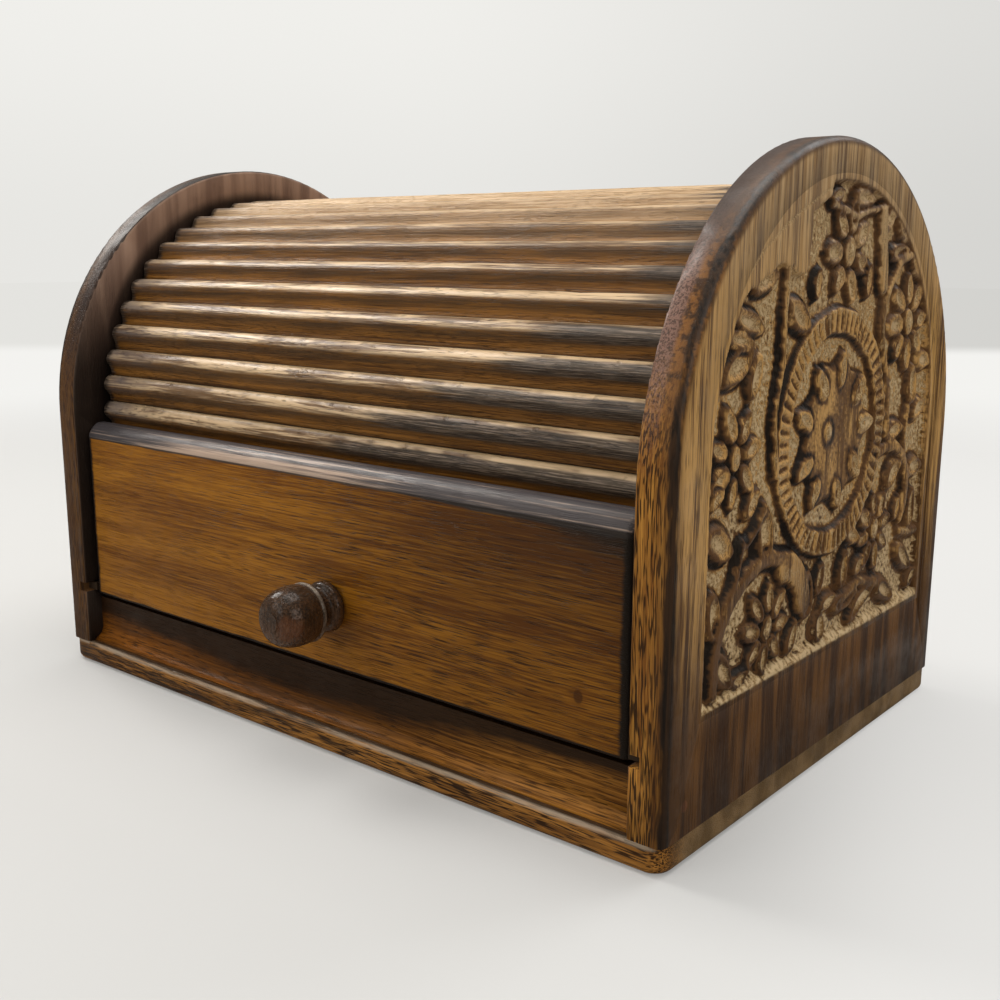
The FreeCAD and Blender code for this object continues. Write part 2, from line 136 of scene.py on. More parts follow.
class BoxColours(bpy.types.PropertyGroup):
    golden: colour("Golden", "Light streaks of the end panels", 0.62, 0.350, 0.115)
    brown: colour("Brown", "Dark streaks of the end panels", 0.105, 0.046, 0.016)
    # the bead colour is light enough to hold painted sheen as well as wear
    bead: colour("Bead", "Worn tops of the slats", 0.66, 0.465, 0.270)
    bead_dark: colour("Bead dark", "Stained streaks on the slats' beads", 0.150, 0.080, 0.034)
    valley: colour("Valley", "Light streaks between the beads", 0.340, 0.145, 0.026)
    valley_dark: colour("Valley dark", "Dark streaks between the beads", 0.090, 0.034, 0.007)
    amber: colour("Amber", "Light streaks of the drawer front", 0.395, 0.156, 0.012)
    russet: colour("Russet", "Dark streaks of the drawer front", 0.150, 0.047, 0.004)
    # also the painted shade on the panels' inner faces, in the carving's moats and at the slats' ends
    burnt_and_shade: colour("Burnt", "Scorched and burnished edges", 0.010, 0.007, 0.006)
    orange: colour("Orange", "Light streaks of the end panels' rims", 0.60, 0.28, 0.050)
    orange_dark: colour("Orange dark", "Dark streaks of the end panels' rims", 0.22, 0.078, 0.012)
    # the painted sheen in the middle of the drawer's bevel, over burnished wood
    sheen: colour("Sheen", "Burnished wood that wears grey", 0.480, 0.350, 0.265)
    pore: colour("Pore", "Open pores of the grain", 0.018, 0.007, 0.003)
    # also the painted highlight on the slats' risers and in the carving's gouges
    pale: colour("Pale", "Fresh cuts and the punched ground", 0.660, 0.480, 0.265)
    inside: colour("Inside", "Unstained wood of the drawer and tray", 0.36, 0.22, 0.105)
    knob: colour("Knob", "Turned knob", 0.082, 0.034, 0.011)
    cloth: colour("Cloth", "Canvas on the slats' backs", 0.30, 0.23, 0.15)
    floor: colour("Floor", "Studio table", 0.60, 0.595, 0.580)
    backdrop: colour("Backdrop", "Studio wall behind the table", 0.871, 0.863, 0.831)


GROUPS = {"box_carving": BoxCarvingSizes, "box_slats": BoxSlatSizes, "box_drawer": BoxDrawerSizes,
          "box_knob": BoxKnobSizes, "box_colours": BoxColours}


# ---------------------------------------------------------------- modelling helpers

def select_only(piece=None):
    """Select one piece and make it active, or select nothing."""
    bpy.ops.object.select_all(action="DESELECT")
    if piece:
        bpy.context.view_layer.objects.active = piece
        piece.select_set(True)


def name_piece(piece, name):
    piece.name = piece.data.name = name
    return piece


def add_piece(name, primitive, **settings):
    """Add a primitive by its operator and name it."""
    select_only()
    primitive(**settings)
    return name_piece(bpy.context.object, name)


def apply_placement():
    bpy.ops.object.transform_apply(location=True, rotation=True, scale=True)


def add_block(name, low, high):
    """A cube primitive from corner to corner, with its place in its mesh."""
    low, high = Vector(low), Vector(high)
    piece = add_piece(name, bpy.ops.mesh.primitive_cube_add, size=1, location=(low + high) / 2)
    piece.scale = high - low
    apply_placement()
    return piece


def edit(piece):
    select_only(piece)
    bpy.ops.object.mode_set(mode="EDIT")
    start_picking("FACE")


def leave_edit():
    bpy.ops.object.mode_set(mode="OBJECT")


def start_picking(kind):
    bpy.ops.mesh.select_mode(type=kind)
    bpy.ops.mesh.select_all(action="DESELECT")


def pick_faces(piece, test):
    """Select the faces whose centre and normal pass the test."""
    start_picking("FACE")
    mesh = bmesh.from_edit_mesh(piece.data)
    for face in mesh.faces:
        face.select_set(test(face.calc_center_median(), face.normal))
    bmesh.update_edit_mesh(piece.data)


def pick_edges(piece, test):
    """Select the edges whose two ends pass the test."""
    start_picking("EDGE")
    mesh = bmesh.from_edit_mesh(piece.data)
    for edge in mesh.edges:
        edge.select_set(test(edge.verts[0].co, edge.verts[1].co))
    bmesh.update_edit_mesh(piece.data)


def bevel_edge(piece, y, z, **settings):
    """Bevel the edges that run along X at one place across it."""
    pick_edges(piece, lambda a, b: near(a.y, y) and near(b.y, y) and near(a.z, z) and near(b.z, z))
    bpy.ops.mesh.bevel(affect="EDGES", **settings)


def face_outward():
    """Turn every normal of the mesh being edited outwards."""
    bpy.ops.mesh.select_all(action="SELECT")
    bpy.ops.mesh.normals_make_consistent(inside=False)


def bisect_all(place, normal):
    """Cut a line of edges through the whole mesh being edited."""
    bpy.ops.mesh.select_all(action="SELECT")
    bpy.ops.mesh.bisect(plane_co=place, plane_no=normal)
    bpy.ops.mesh.select_all(action="DESELECT")


def near(value, target, slack=0.02 * MM):
    return abs(value - target) < slack


def apply_modifier(piece, kind, **settings):
    bpy.context.view_layer.objects.active = piece
    modifier = piece.modifiers.new(kind.title(), kind)
    for key, value in settings.items():
        setattr(modifier, key, value)
    bpy.ops.object.modifier_apply(modifier=modifier.name)


def smooth(piece, degrees):
    select_only(piece)
    bpy.ops.object.shade_smooth_by_angle(angle=math.radians(degrees))


def copy_piece(piece, name):
    copy = piece.copy()
    copy.data = piece.data.copy()
    bpy.context.collection.objects.link(copy)
    return name_piece(copy, name)


def copy_of_node(node, name):
    """A merged copy of a CAD node's mesh, as a new piece."""
    piece = copy_piece(frame["nodes"][node], name)
    for key in list(piece.keys()):
        del piece[key]
    piece.parent = None
    edit(piece)
    bpy.ops.mesh.select_all(action="SELECT")
    bpy.ops.mesh.remove_doubles(threshold=0.002 * MM)
    leave_edit()
    return piece


def add_attribute(mesh, label, values):
    """A number on each point, for a material to read."""
    layer = mesh.attributes.new(label, "FLOAT", "POINT")
    layer.data.foreach_set("value", values.astype(np.float32))


def add_uv(mesh, name, pairs):
    layer = mesh.uv_layers.new(name=name)
    for loop in mesh.loops:
        layer.data[loop.index].uv = pairs[loop.vertex_index]


def finish_piece(piece, body, slot, material, *nodes):
    """Give a piece its material and its seat on the frame."""
    piece.data.materials.clear()
    piece.data.materials.append(material)
    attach(piece, body)
    if nodes:
        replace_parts(piece, *nodes)
    return piece


# ---------------------------------------------------------------- shader values and groups

class Value:
    """The output of a shader node; a sum written with it becomes a Math node."""

    def __init__(self, socket):
        self.socket = socket

    def __add__(self, other):
        return maths("ADD", self, other)

    def __sub__(self, other):
        return maths("SUBTRACT", self, other)

    def __rsub__(self, other):
        return maths("SUBTRACT", other, self)

    def __mul__(self, other):
        return maths("MULTIPLY", self, other)

    def __truediv__(self, other):
        return maths("DIVIDE", self, other)

    def __rtruediv__(self, other):
        return maths("DIVIDE", other, self)

    def __abs__(self):
        return maths("ABSOLUTE", self)


def feed(value, socket):
    """Give an input a value: a node's output, a number, or a colour or vector."""
    if isinstance(value, Value):
        socket.id_data.links.new(value.socket, socket)
    elif isinstance(value, (int, float)):
        socket.default_value = value
    else:
        socket.default_value = (*value, 1.0)[:len(socket.default_value)]


def tree_of(*values):
    """The node tree that the first of the shader values belongs to."""
    return next(value.socket.id_data for value in values if isinstance(value, Value))


def add_node(tree, kind, *values, **settings):
    """A node with its properties or named inputs set, and then its first inputs in their order."""
    node = tree.nodes.new(kind)
    for key, value in settings.items():
        if key in node.bl_rna.properties:
            setattr(node, key, value)
        else:
            feed(value, node.inputs[key.replace("_", " ")])
    for socket, value in zip(node.inputs, values):
        feed(value, socket)
    return node


def outputs_of(node):
    return {socket.name: Value(socket) for socket in node.outputs}


def maths(operation, *values, clamp=False):
    node = add_node(tree_of(*values), "ShaderNodeMath", *values, operation=operation, use_clamp=clamp)
    return Value(node.outputs[0])


def larger(first, second):
    return maths("MAXIMUM", first, second)


def vector_maths(operation, *values):
    """A Vector Math node; operations that measure give a number."""
    node = add_node(tree_of(*values), "ShaderNodeVectorMath", *values, operation=operation)
    measured = operation in ("DOT_PRODUCT", "LENGTH", "DISTANCE")
    return outputs_of(node)["Value" if measured else "Vector"]


def span(value, low, high, start=0.0, end=1.0):
    """A smooth step of a value from one range to another."""
    node = add_node(tree_of(value), "ShaderNodeMapRange", value, low, high, start, end,
                    interpolation_type="SMOOTHSTEP")
    return Value(node.outputs[0])


def mix(factor, first, second):
    """Mix two colours, each a shader value or a plain colour."""
    node = add_node(tree_of(factor), "ShaderNodeMix", data_type="RGBA")
    for index, value in ((0, factor), (6, first), (7, second)):
        feed(value, node.inputs[index])
    return Value(node.outputs[2])


def scaled(colour, factor):
    return tuple(channel * factor for channel in colour)


def stretched(vector, along, across):
    """Coordinates in patterns per metre, drawn out along X."""
    node = add_node(tree_of(vector), "ShaderNodeMapping", Vector=vector, Scale=(along, across, across))
    return Value(node.outputs[0])


def noise_node(vector, scale, detail, roughness):
    return add_node(tree_of(vector), "ShaderNodeTexNoise", Vector=vector, Scale=scale, Detail=detail,
                    Roughness=roughness)


def noise_of(vector, scale, detail, roughness):
    return outputs_of(noise_node(vector, scale, detail, roughness))["Fac"]


def split(vector):
    return [Value(socket) for socket in add_node(tree_of(vector), "ShaderNodeSeparateXYZ", vector).outputs]


def combined(x, y, z):
    return Value(add_node(tree_of(x), "ShaderNodeCombineXYZ", x, y, z).outputs[0])


def make_group(name, outputs, **inputs):
    """A shader group with a Vector input, number inputs with their defaults, and number outputs."""
    tree = bpy.data.node_groups.new(name, "ShaderNodeTree")
    tree.interface.new_socket(name="Vector", in_out="INPUT", socket_type="NodeSocketVector")
    for key, default in inputs.items():
        socket = tree.interface.new_socket(name=key.replace("_", " "), in_out="INPUT",
                                           socket_type="NodeSocketFloat")
        socket.default_value = default
    for label in outputs:
        tree.interface.new_socket(name=label, in_out="OUTPUT", socket_type="NodeSocketFloat")
    return outputs_of(tree.nodes.new("NodeGroupInput")), tree.nodes.new("NodeGroupOutput").inputs


def grain_group():
    """Open-pored wood with its grain along X: broad figure, stripes, fibres, pores and their height."""
    given, result = make_group("wood grain", ("Figure", "Stripe", "Fibre", "Pores", "Height"),
                               Figure_Width=0.006, Stripe_Width=0.0012, Pore_Amount=0.5, Pore_Size=1.0,
                               Pore_Length=1.0)
    waver = noise_node(stretched(given["Vector"], 9.0, 45.0), 1.0, 1.0, 0.5)
    wavy = vector_maths("MULTIPLY_ADD", outputs_of(waver)["Color"], (0.0, 0.0035, 0.0035), given["Vector"])
    figure = noise_of(stretched(wavy, 0.07, 1.0), 1.0 / given["Figure Width"], 2.0, 0.5)
    stripe = noise_of(stretched(wavy, 0.025, 1.0), 1.0 / given["Stripe Width"], 2.0, 0.6)
    fibre = noise_of(stretched(wavy, 55.0, 2800.0), 1.0, 3.0, 0.65)
    across = 3800.0 / given["Pore Size"]
    pore_shape = combined(across * 0.055 / given["Pore Length"], across, across)
    pore_noise = noise_of(vector_maths("MULTIPLY", wavy, pore_shape), 1.0, 0.0, 0.4)
    patches = noise_of(stretched(wavy, 30.0, 200.0), 1.0, 1.0, 0.5)
    level = given["Pore Amount"] * -0.22 + 0.72 - (patches * 0.24 - 0.12)
    pores = maths("MULTIPLY", pore_noise - level, 9.0, clamp=True)
    feed(span(figure, 0.34, 0.66), result["Figure"])
    feed(span(stripe, 0.32, 0.68), result["Stripe"])
    feed(span(fibre, 0.25, 0.75), result["Fibre"])
    feed(pores, result["Pores"])
    feed(stripe * 0.4 + (fibre * 0.8 - pores), result["Height"])


def scorch_and_shade_group():
    """A ragged mask that is 1 at an edge and fades over a width; distance is in metres."""
    given, result = make_group("scorched edge", ("Mask",), Distance=0.0, Width=0.003, Ragged=0.5)
    broad = noise_of(stretched(given["Vector"], 60.0, 180.0), 1.0, 3.0, 0.6)
    fine = noise_of(stretched(given["Vector"], 160.0, 1400.0), 1.0, 3.0, 0.6)
    jitter = (broad * 1.4 + fine * 0.6 - 1.0) * given["Ragged"]
    feed(span(given["Distance"] / given["Width"] + jitter, 0.65, 1.1, 1.0, 0.0), result["Mask"])


def gloss_group():
    """Uneven satin lacquer: roughness with rubbed patches."""
    given, result = make_group("rubbed lacquer", ("Roughness",), Smooth=0.3, Dull=0.55)
    share = span(noise_of(given["Vector"], 130.0, 3.0, 0.6), 0.35, 0.65)
    feed(share * (given["Dull"] - given["Smooth"]) + given["Smooth"], result["Roughness"])


def place_group(name, **values):
    """A shader group's outputs, by name."""
    return outputs_of(add_node(tree_of(*values.values()), "ShaderNodeGroup",
                               node_tree=bpy.data.node_groups[name], **values))


# ---------------------------------------------------------------- materials

def new_material(name):
    """A material's node tree and shader."""
    material = bpy.data.materials.new(name)
    material.use_nodes = True
    return material.node_tree, material.node_tree.nodes["Principled BSDF"]


def object_point(tree):
    return outputs_of(add_node(tree, "ShaderNodeTexCoord"))["Object"]


def uv_point(tree, name):
    return Value(add_node(tree, "ShaderNodeUVMap", uv_map=name).outputs[0])


WARM_TINT = (1.0, 0.80, 0.60)    # of the highlights on lacquered wood

# The turns that bring a grain's own axis onto X.
GRAIN_TURNS = {"X": (0.0, 0.0, 0.0), "Y": (0.0, 0.0, -math.pi / 2), "Z": (0.0, math.pi / 2, 0.0)}


def turned(vector, axis):
    """Coordinates whose X runs along the grain's own axis."""
    node = add_node(tree_of(vector), "ShaderNodeMapping", Vector=vector, Rotation=GRAIN_TURNS[axis])
    return Value(node.outputs[0])


def bumped(shader, height, strength, distance):
    node = add_node(tree_of(height), "ShaderNodeBump", Height=height, Strength=strength, Distance=distance)
    feed(Value(node.outputs[0]), shader.inputs["Normal"])


def attribute(tree, name):
    return outputs_of(add_node(tree, "ShaderNodeAttribute", attribute_name=name))["Fac"]


def wood_base(grain, light, dark, pore, stripe_share, pore_share, shift=0.0, fibre=0.4, crisp=0.0):
    """Figure, stripes and fibres between two colours, with pores on top; shift lightens or darkens."""
    streaks = grain["Stripe"] * stripe_share
    level = grain["Figure"] * (1.0 - stripe_share) + streaks
    level = level + (grain["Fibre"] * fibre - fibre / 2)
    level = maths("ADD", level, shift, clamp=True)
    if crisp:
        level = span(level, crisp, 1.0 - crisp)
    base = mix(level, dark, light)
    return mix(grain["Pores"] * pore_share, base, pore)


def satin(shader, point, base, smooth_gloss, dull_gloss, specular=0.2):
    """A base colour under worn satin lacquer."""
    gloss = place_group("rubbed lacquer", Vector=point, Smooth=smooth_gloss, Dull=dull_gloss)
    feed(base, shader.inputs["Base Color"])
    feed(gloss["Roughness"], shader.inputs["Roughness"])
    feed(specular, shader.inputs["Specular IOR Level"])
    feed(WARM_TINT, shader.inputs["Specular Tint"])
    feed(0.3, shader.inputs["Coat Roughness"])


def panel_place(point):
    """Distances in metres: over the face from the rim, over the rim from the face, and from the centre."""
    x, y, z = split(point)
    rise = larger(z - arch_centre_z, 0.0)
    reach = maths("SQRT", y * y + rise * rise)
    over_face = arch_radius - reach
    over_rim = panel_face_x - abs(x)
    return over_face, over_rim, reach


def panel_material(colours):
    """Streaky end panel: orange front edge, scorched outer arris, carved field and sooty inner face."""
    tree, shader = new_material("panel wood")
    point = object_point(tree)
    x, y, z = split(point)
    along = turned(point, "Z")
    grain = place_group("wood grain", Vector=along, Figure_Width=0.0042, Stripe_Width=0.001,
                        Pore_Amount=0.3)
    shift = (span(y, -0.068, -0.052, 0.12, 0.0) + span(z, 0.04, 0.085, -0.06, 0.2)
             + span(y, 0.045, 0.068, 0.0, -0.28))
    base = wood_base(grain, colours.golden, colours.brown, colours.pore, 0.4, 0.7, shift, 0.7, 0.16)
    # darker, softer wood low down, and a painted sheen that lightens the wood round the crown
    low_wood = wood_base(grain, (0.122, 0.052, 0.014), (0.036, 0.015, 0.006), colours.pore, 0.25, 0.3, 0.0,
                         0.4, 0.05)
    base = mix(span(z, 0.024, 0.066, 1.0, 0.0), base, low_wood)
    painted_sheen_top = mix(grain["Stripe"], (0.26, 0.165, 0.095), (0.6, 0.44, 0.27))
    base = mix(span(z, 0.098, 0.135, 0.0, 0.6), base, painted_sheen_top)
    over_face, over_rim, reach = panel_place(point)
    # rim: open-pored orange in front, speckled black and reddish round the arch with a painted pinkish sheen
    # on its inner part, darker on the left
    dashes = place_group("wood grain", Vector=along, Figure_Width=0.0042, Stripe_Width=0.0008,
                         Pore_Amount=0.95, Pore_Size=1.15, Pore_Length=0.75)
    orange = wood_base(dashes, colours.orange, colours.orange_dark, (0.03, 0.011, 0.003), 0.5, 0.95, 0.0,
                       0.8)
    speckle = noise_of(point, 2100.0, 3.0, 0.6)
    blotch = noise_of(point, 420.0, 3.0, 0.6)
    mottled = mix(span(blotch, 0.42, 0.58), (0.36, 0.145, 0.03), (0.022, 0.009, 0.005))
    # the inner part of the arch's rim: reddish wood, speckled dark, lightened pink as painted sheen
    ruddy_and_sheen = mix(span(speckle, 0.44, 0.6, 0.0, 0.8), (0.25, 0.135, 0.098), (0.04, 0.017, 0.011))
    arch_rim = mix(span(over_rim, 0.0038, 0.0052), mottled, ruddy_and_sheen)
    arch_rim = mix(span(z, 0.112, 0.132, 0.0, 0.88), arch_rim, (0.03, 0.017, 0.011))
    arch = span(z, 0.078, 0.108)
    on_left = span(x, -0.01, 0.01, 1.0, 0.0)
    arch_rim = mix(on_left * 0.85, arch_rim, colours.burnt_and_shade)
    orange = mix(on_left * 0.82, orange, (0.045, 0.02, 0.012))
    orange = mix(arch, orange, arch_rim)
    on_rim = span(over_face, 0.0008, 0.0022, 1.0, 0.0)
    base = mix(on_rim, base, orange)
    # carving: low tones are scorched wood and painted shade, high tones fresh cuts with painted highlights
    tone = attribute(tree, "carving_tone")
    carved = attribute(tree, "carving_share")
    dark_cut = mix(span(tone, 0.1, 0.32), colours.burnt_and_shade, (0.13, 0.06, 0.022))
    punched = mix(span(noise_of(point, 2400.0, 3.0, 0.7), 0.38, 0.62), (0.27, 0.15, 0.052),
                  (0.6, 0.43, 0.225))
    cut_wood = mix(span(tone, 0.3, 0.55), dark_cut, base)
    cut_wood = mix(span(tone, 0.52, 0.78), cut_wood, punched)
    cut_wood = mix(span(tone, 0.82, 0.98), cut_wood, colours.pale)
    base = mix(carved, base, cut_wood)
    # scorched outer arris, stronger low down and in front
    face_width = span(z, 0.05, 0.11, 0.0028, 0.001) * span(y, -0.01, 0.045, 1.0, 0.25)
    rim_width = span(z, 0.07, 0.11, 0.0017, 0.0025)
    over = larger(over_face, 0.0) / face_width + larger(over_rim, 0.0) / rim_width
    scorch_and_shade = place_group("scorched edge", Vector=along, Distance=over, Width=1.0, Ragged=0.95)
    behind = span(y, 0.0, 0.05, 1.0, 0.1)
    scorched = scorch_and_shade["Mask"] * behind
    singed = span(over, 0.8, 2.6, 0.55, 0.0) * behind
    base = mix(singed, base, colours.brown)
    char = mix(grain["Stripe"], colours.burnt_and_shade, (0.048, 0.024, 0.012))
    base = mix(scorched, base, char)
    # inner face: soft pinkish bands at the top, and painted shade next to the slats and low down
    inner = span(over_rim, 0.0083, 0.0086)
    bands = mix(grain["Figure"], (0.2, 0.12, 0.085), (0.34, 0.215, 0.15))
    base = mix(inner, base, bands)
    near_slats = span(reach, 0.0618, 0.0655, 0.85, 0.0)
    low_down = span(z, 0.085, 0.125, 1.0, 0.0)
    soot_and_shade = larger(near_slats, low_down) * inner
    base = mix(soot_and_shade * 0.95, base, colours.burnt_and_shade)
    satin(shader, point, base, 0.36, 0.54, 0.2)
    polish = larger(on_rim * 0.25, scorched * 0.4)
    polish = polish * arch * span(x, -0.01, 0.01, 0.3, 1.0)
    feed(polish, shader.inputs["Coat Weight"])
    bumped(shader, grain["Height"], 0.7, 0.00016)


def slat_material(colours):
    """Slat: pale bead from wear and painted sheen, brown valley, riser painted pale as a highlight, painted
    shade under the bead, in the joints and by the panels, painted sheen on the crown and left ends, and
    blue-black burnished ends.
    """
    tree, shader = new_material("slat wood")
    u, v = split(uv_point(tree, "along and across"))[:2]
    number = attribute(tree, "slat_number")
    along = combined(u, v, number)
    grain = place_group("wood grain", Vector=along, Figure_Width=0.0034, Stripe_Width=0.0007,
                        Pore_Amount=0.3, Pore_Size=0.6)
    crown = span(number, 0.2, 0.34) * span(number, 0.47, 0.62, 1.0, 0.25)
    # the crown's slats are painted lighter, beads and valleys alike, as sheen
    shift = crown * 0.4 + 0.04
    # the bead: pale from wear and painted sheen
    wear_and_sheen = wood_base(grain, colours.bead, colours.bead_dark, colours.pore, 0.5, 0.45, shift, 1.0, 0.12)
    valley = wood_base(grain, colours.valley, colours.valley_dark, colours.pore, 0.5, 0.6, shift, 0.8)
    painted_crown_sheen = mix(grain["Stripe"], (0.52, 0.34, 0.18), (0.9, 0.68, 0.44))
    valley = mix(crown * 0.85, valley, painted_crown_sheen)
    ragged = noise_of(stretched(along, 60.0, 800.0), 1.0, 3.0, 0.6)
    bead = span(attribute(tree, "bead") + (ragged - 0.5), 0.15, 0.85)
    base = mix(bead, valley, wear_and_sheen)
    # the riser faces up and is painted pale as a highlight
    base = mix(attribute(tree, "riser") * 0.7, base, colours.pale)
    # painted shade on the underside of each bead, weaker on the crown
    under = attribute(tree, "under") * span(ragged, 0.3, 0.62, 0.45, 1.0)
    under = under * (crown * -0.8 + 0.85)
    base = mix(under, base, (0.07, 0.038, 0.018))
    # painted blue-grey sheen at the slats' left ends
    grey = attribute(tree, "grey") * span(ragged, 0.3, 0.7, 0.2, 0.85)
    base = mix(grey, base, (0.15, 0.125, 0.12))
    streak = noise_of(stretched(along, 20.0, 1500.0), 1.0, 3.0, 0.65)
    # the charring mask also holds painted shade at the slats' ends next to the panels
    char = attribute(tree, "char") + (streak * 1.1 - 0.55)
    char = span(char, 0.35, 0.8, 0.0, 0.93)
    fibres = noise_of(stretched(along, 90.0, 4200.0), 1.0, 3.0, 0.7)
    sooty = mix(span(fibres, 0.44, 0.66), colours.burnt_and_shade, (0.2, 0.145, 0.105))
    base = mix(char, base, sooty)
    # dark joints, with painted shade deepening towards them and on the slats' flanks
    joint = attribute(tree, "joint") * (crown * -0.7 + 0.85)
    base = mix(joint, base, colours.pore)
    satin(shader, along, base, 0.36, 0.5, 0.25)
    polish = larger(bead, char) * span(ragged, 0.3, 0.7, 0.08, 0.35)
    feed(polish, shader.inputs["Coat Weight"])
    bumped(shader, grain["Height"], 0.8, 0.00028)


def drawer_material(colours):
    """Warm drawer front with a burnished grey-black bevel that is pale in its middle from wear and painted
    sheen, dark ends, one small knot, and darker towards the upper right.
    """
    tree, shader = new_material("drawer front wood")
    point = object_point(tree)
    x, _, z = split(point)
    grain = place_group("wood grain", Vector=point, Figure_Width=0.0058, Stripe_Width=0.0005,
                        Pore_Amount=0.45, Pore_Size=0.7, Pore_Length=2.0)
    below_top = drawer_high.z - z
    to_right = span(x, -0.03, 0.075)
    high_up = span(below_top, 0.006, 0.044, 1.0, 0.4)
    # darker towards the upper right of the face
    rubbed = to_right * high_up
    shift = rubbed * -0.5 + 0.1
    calm = wood_base(grain, colours.amber, colours.russet, colours.pore, 0.4, 0.35, shift, 0.6)
    base = wood_base(grain, colours.amber, colours.russet, colours.pore, 0.6, 0.8, shift, 1.1)
    base = mix(span(x, -0.07, 0.02), calm, base)
    base = mix(rubbed * 0.6, base, colours.pore)
    knot_x = (x - 0.0823) / 0.00125
    knot_z = (z - 0.0323) / 0.00155
    knot = knot_x * knot_x + knot_z * knot_z
    base = mix(span(knot, 0.5, 1.3, 0.85, 0.0), base, colours.pore)
    base = mix(span(knot, 1.0, 5.0, 0.35, 0.0), base, colours.russet)
    corner = span(x, 0.05, 0.092) * span(below_top, 0.004, 0.016, 1.0, 0.0)
    over_bevel = larger(below_top - 0.0035, 0.0)
    reach = span(x, 0.02, 0.09) * 0.001 + 0.0008
    bevel = place_group("scorched edge", Vector=point, Distance=over_bevel, Width=reach, Ragged=0.8)
    from_end = drawer_high.x - abs(x)
    ends = place_group("scorched edge", Vector=point, Distance=from_end, Width=0.0026, Ragged=0.5)
    foot = place_group("scorched edge", Vector=point, Width=0.001, Ragged=0.6, Distance=z - drawer_low.z)
    streak = noise_of(stretched(point, 25.0, 1500.0), 1.0, 3.0, 0.65)
    corner = span(corner + (streak * 0.9 - 0.45), 0.35, 0.9)
    base = mix(corner * 0.85, base, colours.burnt_and_shade)
    base = mix(larger(ends["Mask"], foot["Mask"]), base, colours.burnt_and_shade)
    # the bevel's pale middle, its lower half most: wear with painted sheen
    middle = span(x, -0.08, -0.042) * span(x, 0.0, 0.05, 1.0, 0.2)
    lower = span(below_top, 0.0008, 0.0028, 0.25, 1.0)
    wear_and_sheen = middle * (lower * 0.85) + (streak * 2.4 - 1.3)
    top = mix(span(wear_and_sheen, 0.0, 0.8), (0.058, 0.051, 0.054), colours.sheen)
    edge_line = span(over_bevel, 0.00005, 0.0004, 0.0, 0.9)
    top = mix(edge_line, top, colours.burnt_and_shade)
    base = mix(bevel["Mask"], base, top)
    satin(shader, point, base, 0.34, 0.5, 0.2)
    feed(bevel["Mask"] * 0.18, shader.inputs["Coat Weight"])
    bumped(shader, grain["Height"], 0.7, 0.00017)


def base_material(colours):
    """Base plate: dashed orange-brown front, pale ridge of wear with a painted highlight, ledge with painted
    shade next to the rail, soft golden sides.
    """
    tree, shader = new_material("base wood")
    point = object_point(tree)
    x, y, z = split(point)
    grain = place_group("wood grain", Vector=point, Figure_Width=0.006, Stripe_Width=0.001,
                        Pore_Amount=0.95, Pore_Size=1.1)
    base = wood_base(grain, (0.5, 0.22, 0.044), (0.13, 0.048, 0.01), colours.pore, 0.45, 0.9, 0.0, 0.7)
    patches = noise_of(stretched(point, 34.0, 420.0), 1.0, 4.0, 0.65)
    stain = span(x, -0.06, 0.09, 0.06, -0.06) + patches
    low = span(z, 0.001, 0.005, 1.0, 0.6)
    stain = span(stain, 0.5, 0.66) * low
    base = mix(stain * 0.92, base, colours.burnt_and_shade)
    on_top = span(z, 0.006, 0.0064)
    to_rail = rail_low.y - y
    tan = mix(grain["Stripe"], (0.038, 0.024, 0.014), (0.08, 0.052, 0.03))
    # the ledge is painted darker next to the rail, as shade under the drawer
    ledge = mix(span(to_rail, -0.0002, 0.0016), (0.07, 0.032, 0.011), tan)
    ledge = mix(grain["Pores"] * 0.5, ledge, colours.pore)
    base = mix(on_top, base, ledge)
    # the ridge along the top front edge: pale wear with a painted highlight, in patches
    ridge = span(z, 0.005, 0.006) * span(y, -0.0706, -0.0698, 1.0, 0.0)
    ridge = ridge * span(patches, 0.38, 0.58, 0.9, 0.15)
    base = mix(ridge, base, (0.4, 0.31, 0.22))
    side = span(abs(x), 0.103, 0.1048)
    soft = mix(grain["Figure"], (0.145, 0.084, 0.032), (0.265, 0.162, 0.07))
    base = mix(side * span(y, -0.07, -0.06), base, soft)
    satin(shader, point, base, 0.38, 0.55, 0.2)
    bumped(shader, grain["Height"], 0.7, 0.00018)


def rail_material(colours):
    """Rail under the drawer: black at the top with painted shade from the drawer, tan towards its foot and
    its right-hand end.
    """
    tree, shader = new_material("rail wood")
    point = object_point(tree)
    x, _, z = split(point)
    grain = place_group("wood grain", Vector=point, Figure_Width=0.005, Stripe_Width=0.0009,
                        Pore_Amount=0.5)
    light = mix(span(x, -0.02, 0.075), (0.32, 0.105, 0.01), (0.44, 0.185, 0.03))
    base = wood_base(grain, light, (0.095, 0.032, 0.004), colours.pore, 0.6, 0.75, 0.0, 0.9)
    from_top = rail_high.z - z
    reach = span(x, -0.09, -0.01, 0.0055, 0.0095) * span(x, 0.0, 0.08, 1.0, 0.28)
    shade = place_group("scorched edge", Vector=point, Distance=from_top, Width=reach, Ragged=0.6)
    # painted shade from the drawer over the rail's top, deeper on the left and in the middle
    base = mix(span(from_top / reach, 0.5, 2.2, 0.75, 0.0), base, colours.pore)
    base = mix(shade["Mask"] * 0.85, base, (0.016, 0.007, 0.003))
    satin(shader, point, base, 0.38, 0.55, 0.18)
    bumped(shader, grain["Height"], 0.6, 0.00016)


